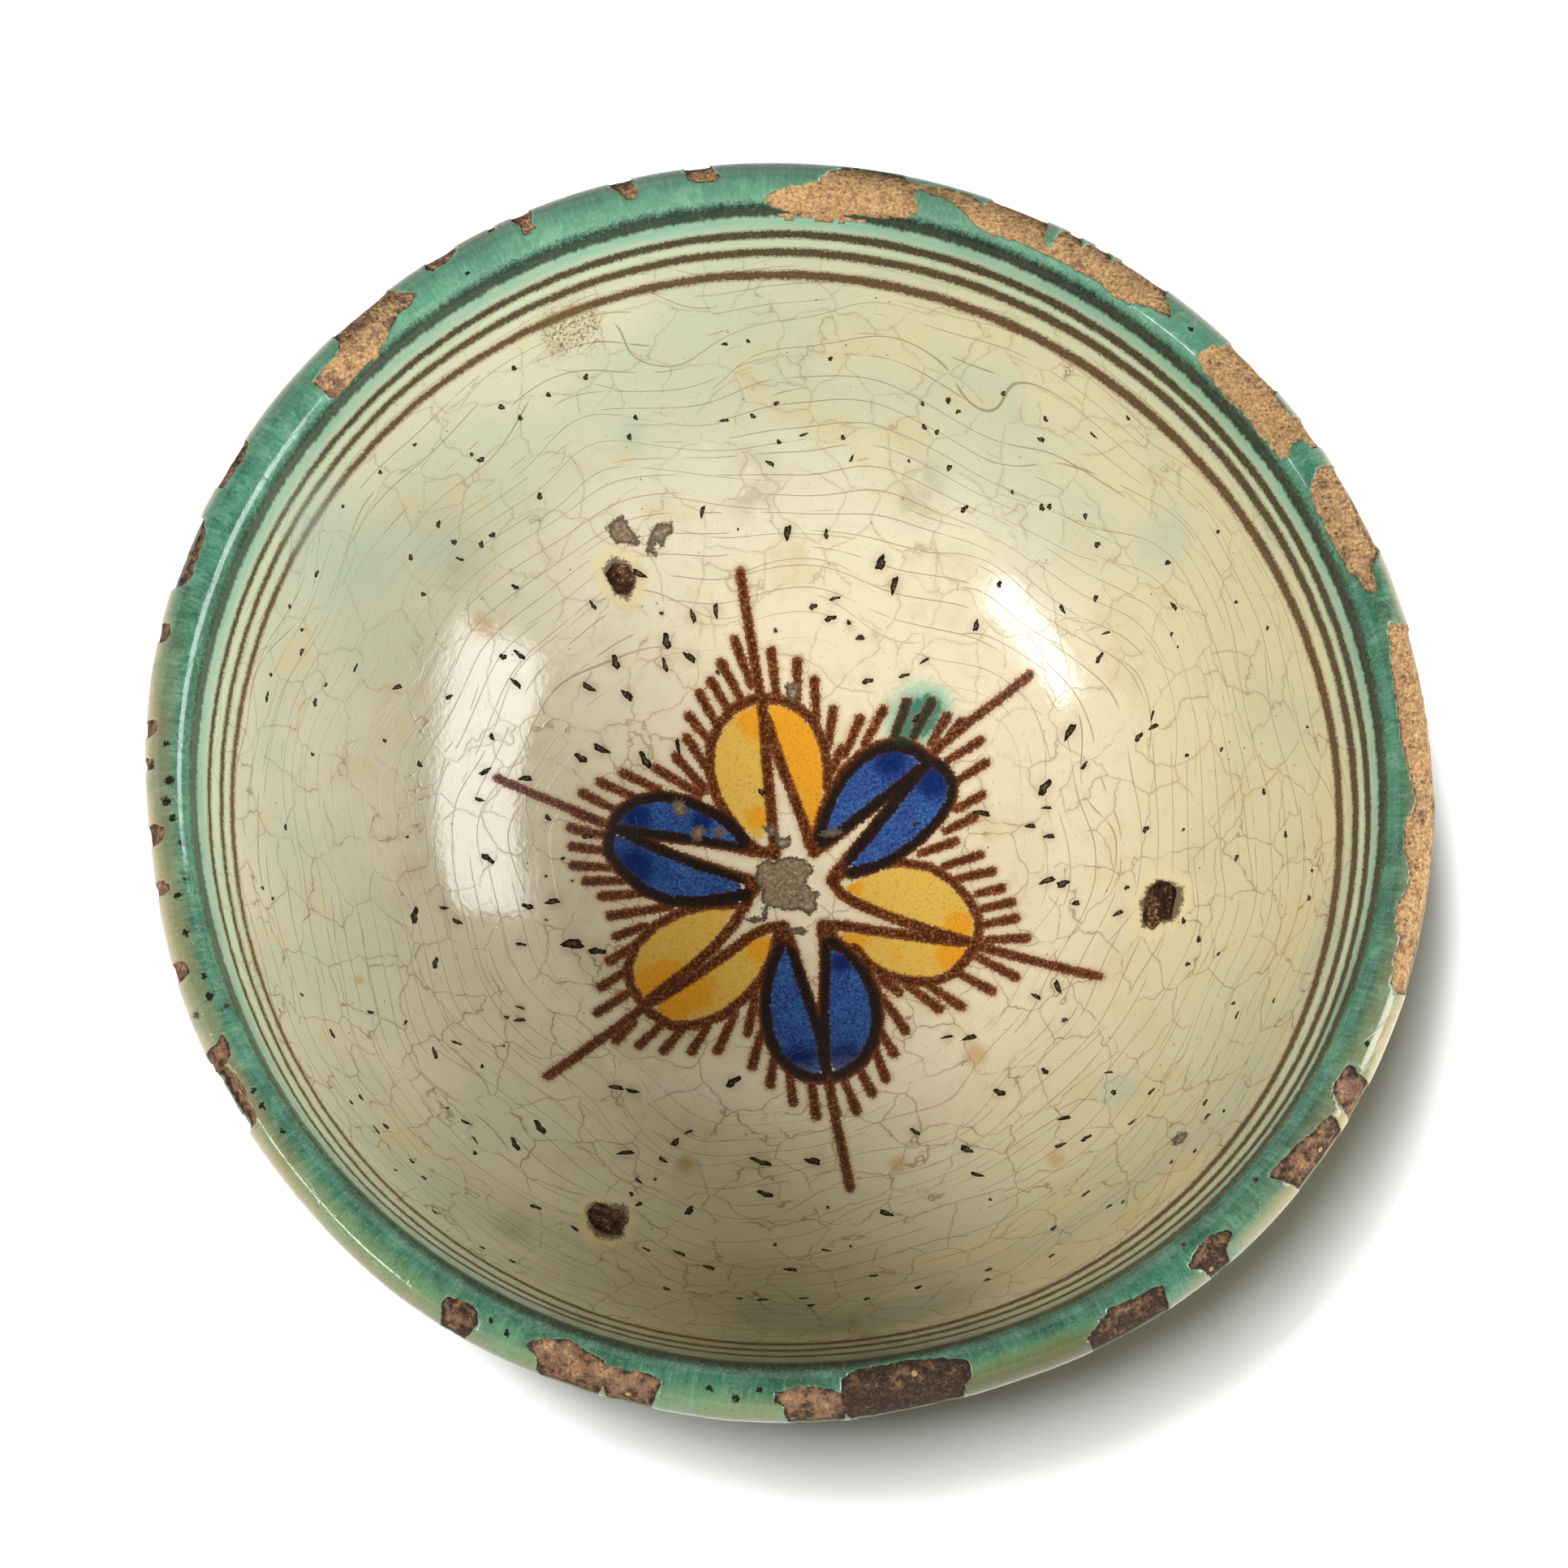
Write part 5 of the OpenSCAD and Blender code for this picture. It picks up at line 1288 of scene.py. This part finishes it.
def seen_share(node):
    """1 for rays that show the background itself: from the camera, in a gloss or through glass."""
    path = node("LightPath", out=None).outputs
    seen = path["Is Camera Ray"]
    for kind in ("Is Glossy Ray", "Is Transmission Ray"):
        seen = node("Math", {0: seen, 1: path[kind]}, operation="MAXIMUM")
    return seen


def make_stage():
    """A pale floor that keeps the bowl's soft shadow, and a surround that is seen as plain white."""
    white, node = new_material("matt white board")
    tone = node("Mix", {0: seen_share(node), 6: srgb("#848484"), 7: srgb("#f4f4f4")}, out=2, data_type="RGBA")
    node("OutputMaterial", {"Surface": node("BsdfDiffuse", {"Color": tone})}, out=None)
    surround, node = new_material("white studio surround")
    glow = node("Emission", {"Color": (1, 1, 1, 1), "Strength": seen_share(node)})
    node("OutputMaterial", {"Surface": glow}, out=None)
    turns, wide, high = 64, 5000.0, 4000.0
    angle = np.arange(turns) * 2 * math.pi / turns
    circle = np.stack([np.cos(angle), np.sin(angle)], -1)
    rings = [np.column_stack([circle * r, np.zeros(turns)]) for r in (wide, 1500.0, 400.0)]
    points = np.concatenate(rings + [[[0, 0, 0]]])
    floor = make_mesh("studio_floor", points, mound_faces(len(rings), turns), white, flat=True)
    rings = [np.column_stack([circle * wide, np.full(turns, z)]) for z in (0.0, high)]
    wall = make_mesh("studio_surround", np.concatenate(rings), ring_faces(2, turns), surround, flat=True)
    return floor


floor = make_stage()
world = bpy.data.worlds.new("soft studio")
world.use_nodes = True
sky = world.node_tree.nodes["Background"].inputs
sky["Color"].default_value, sky["Strength"].default_value = (1, 1, 1, 1), 0.03
bpy.context.scene.world = world

bowl_only = bpy.data.collections.new("lit by the windows")
floor_only = bpy.data.collections.new("lit from above")
for piece, _, _ in shown:
    bowl_only.objects.link(piece)
floor_only.objects.link(floor)

# Studio lamps on the bowl: azimuth, elevation, width, height and power. The windows show in the gloss, and the fills
# only light it.
LAMPS = [
    ("front_window", -150.5, 31.5, 0.62, 0.16, 4.6),
    ("right_window", 0, 26, 1.24, 0.68, 22.0),
    ("front_left_fill", -150, 40, 0.40, 0.40, 22.6),
    ("right_low_fill", -13, 12, 0.90, 0.40, 15.6),
    ("right_fill", -13, 25, 0.90, 0.40, 8.0),
    ("front_right_fill", -30, 40, 0.40, 0.40, 5.8),
]
AIM = Vector((0, 0, 0.06))
LAMP_AWAY = 1.5
for name, azimuth, elevation, wide, high, power in LAMPS:
    a, e = math.radians(azimuth), math.radians(elevation)
    lamp = bpy.data.lights.new(name, "AREA")
    lamp.shape = "RECTANGLE"
    lamp.size, lamp.size_y, lamp.energy = wide, high, power
    holder = place_object(name, lamp)
    holder.location = AIM + LAMP_AWAY * Vector((math.cos(a) * math.cos(e), math.sin(a) * math.cos(e), math.sin(e)))
    holder.rotation_euler = look_from(holder.location, AIM)
    holder.light_linking.receiver_collection = bowl_only
    holder.visible_glossy = name.endswith("window")
    holder.visible_diffuse = name.endswith("fill")

# A long soft light above in three parts, for the shadow alone: each shines the way from its place to the origin
SHADOW_POWER = 1.6
SHADOW_SPREAD = math.radians(7)
SHADOW_LAMPS = [
    ("above_front", (-0.0147, -0.0104, 0.114)),
    ("above", (-0.0188, 0.0009, 0.114)),
    ("above_back", (-0.0206, 0.0072, 0.114)),
]
for name, place in SHADOW_LAMPS:
    lamp = bpy.data.lights.new(name, "SUN")
    lamp.energy, lamp.angle = SHADOW_POWER, SHADOW_SPREAD
    holder = place_object(name, lamp)
    holder.rotation_euler = look_from(place, (0, 0, 0))
    holder.light_linking.receiver_collection = floor_only

# The camera looks down from the front, as in the photo
CAMERA_TARGET = Vector((-0.0008, -0.0017, 0.114))
CAMERA_AWAY = 1.2
CAMERA_RISE = math.radians(76)
camera = bpy.data.cameras.new("camera")
camera.sensor_width = 36
camera.lens = 127.45
camera_holder = place_object("camera", camera)
camera_holder.location = CAMERA_TARGET + CAMERA_AWAY * Vector((0, -math.cos(CAMERA_RISE), math.sin(CAMERA_RISE)))
camera_holder.rotation_euler = (math.pi / 2 - CAMERA_RISE, 0, 0)
bpy.context.scene.camera = camera_holder
bpy.context.scene.view_settings.view_transform = "Standard"
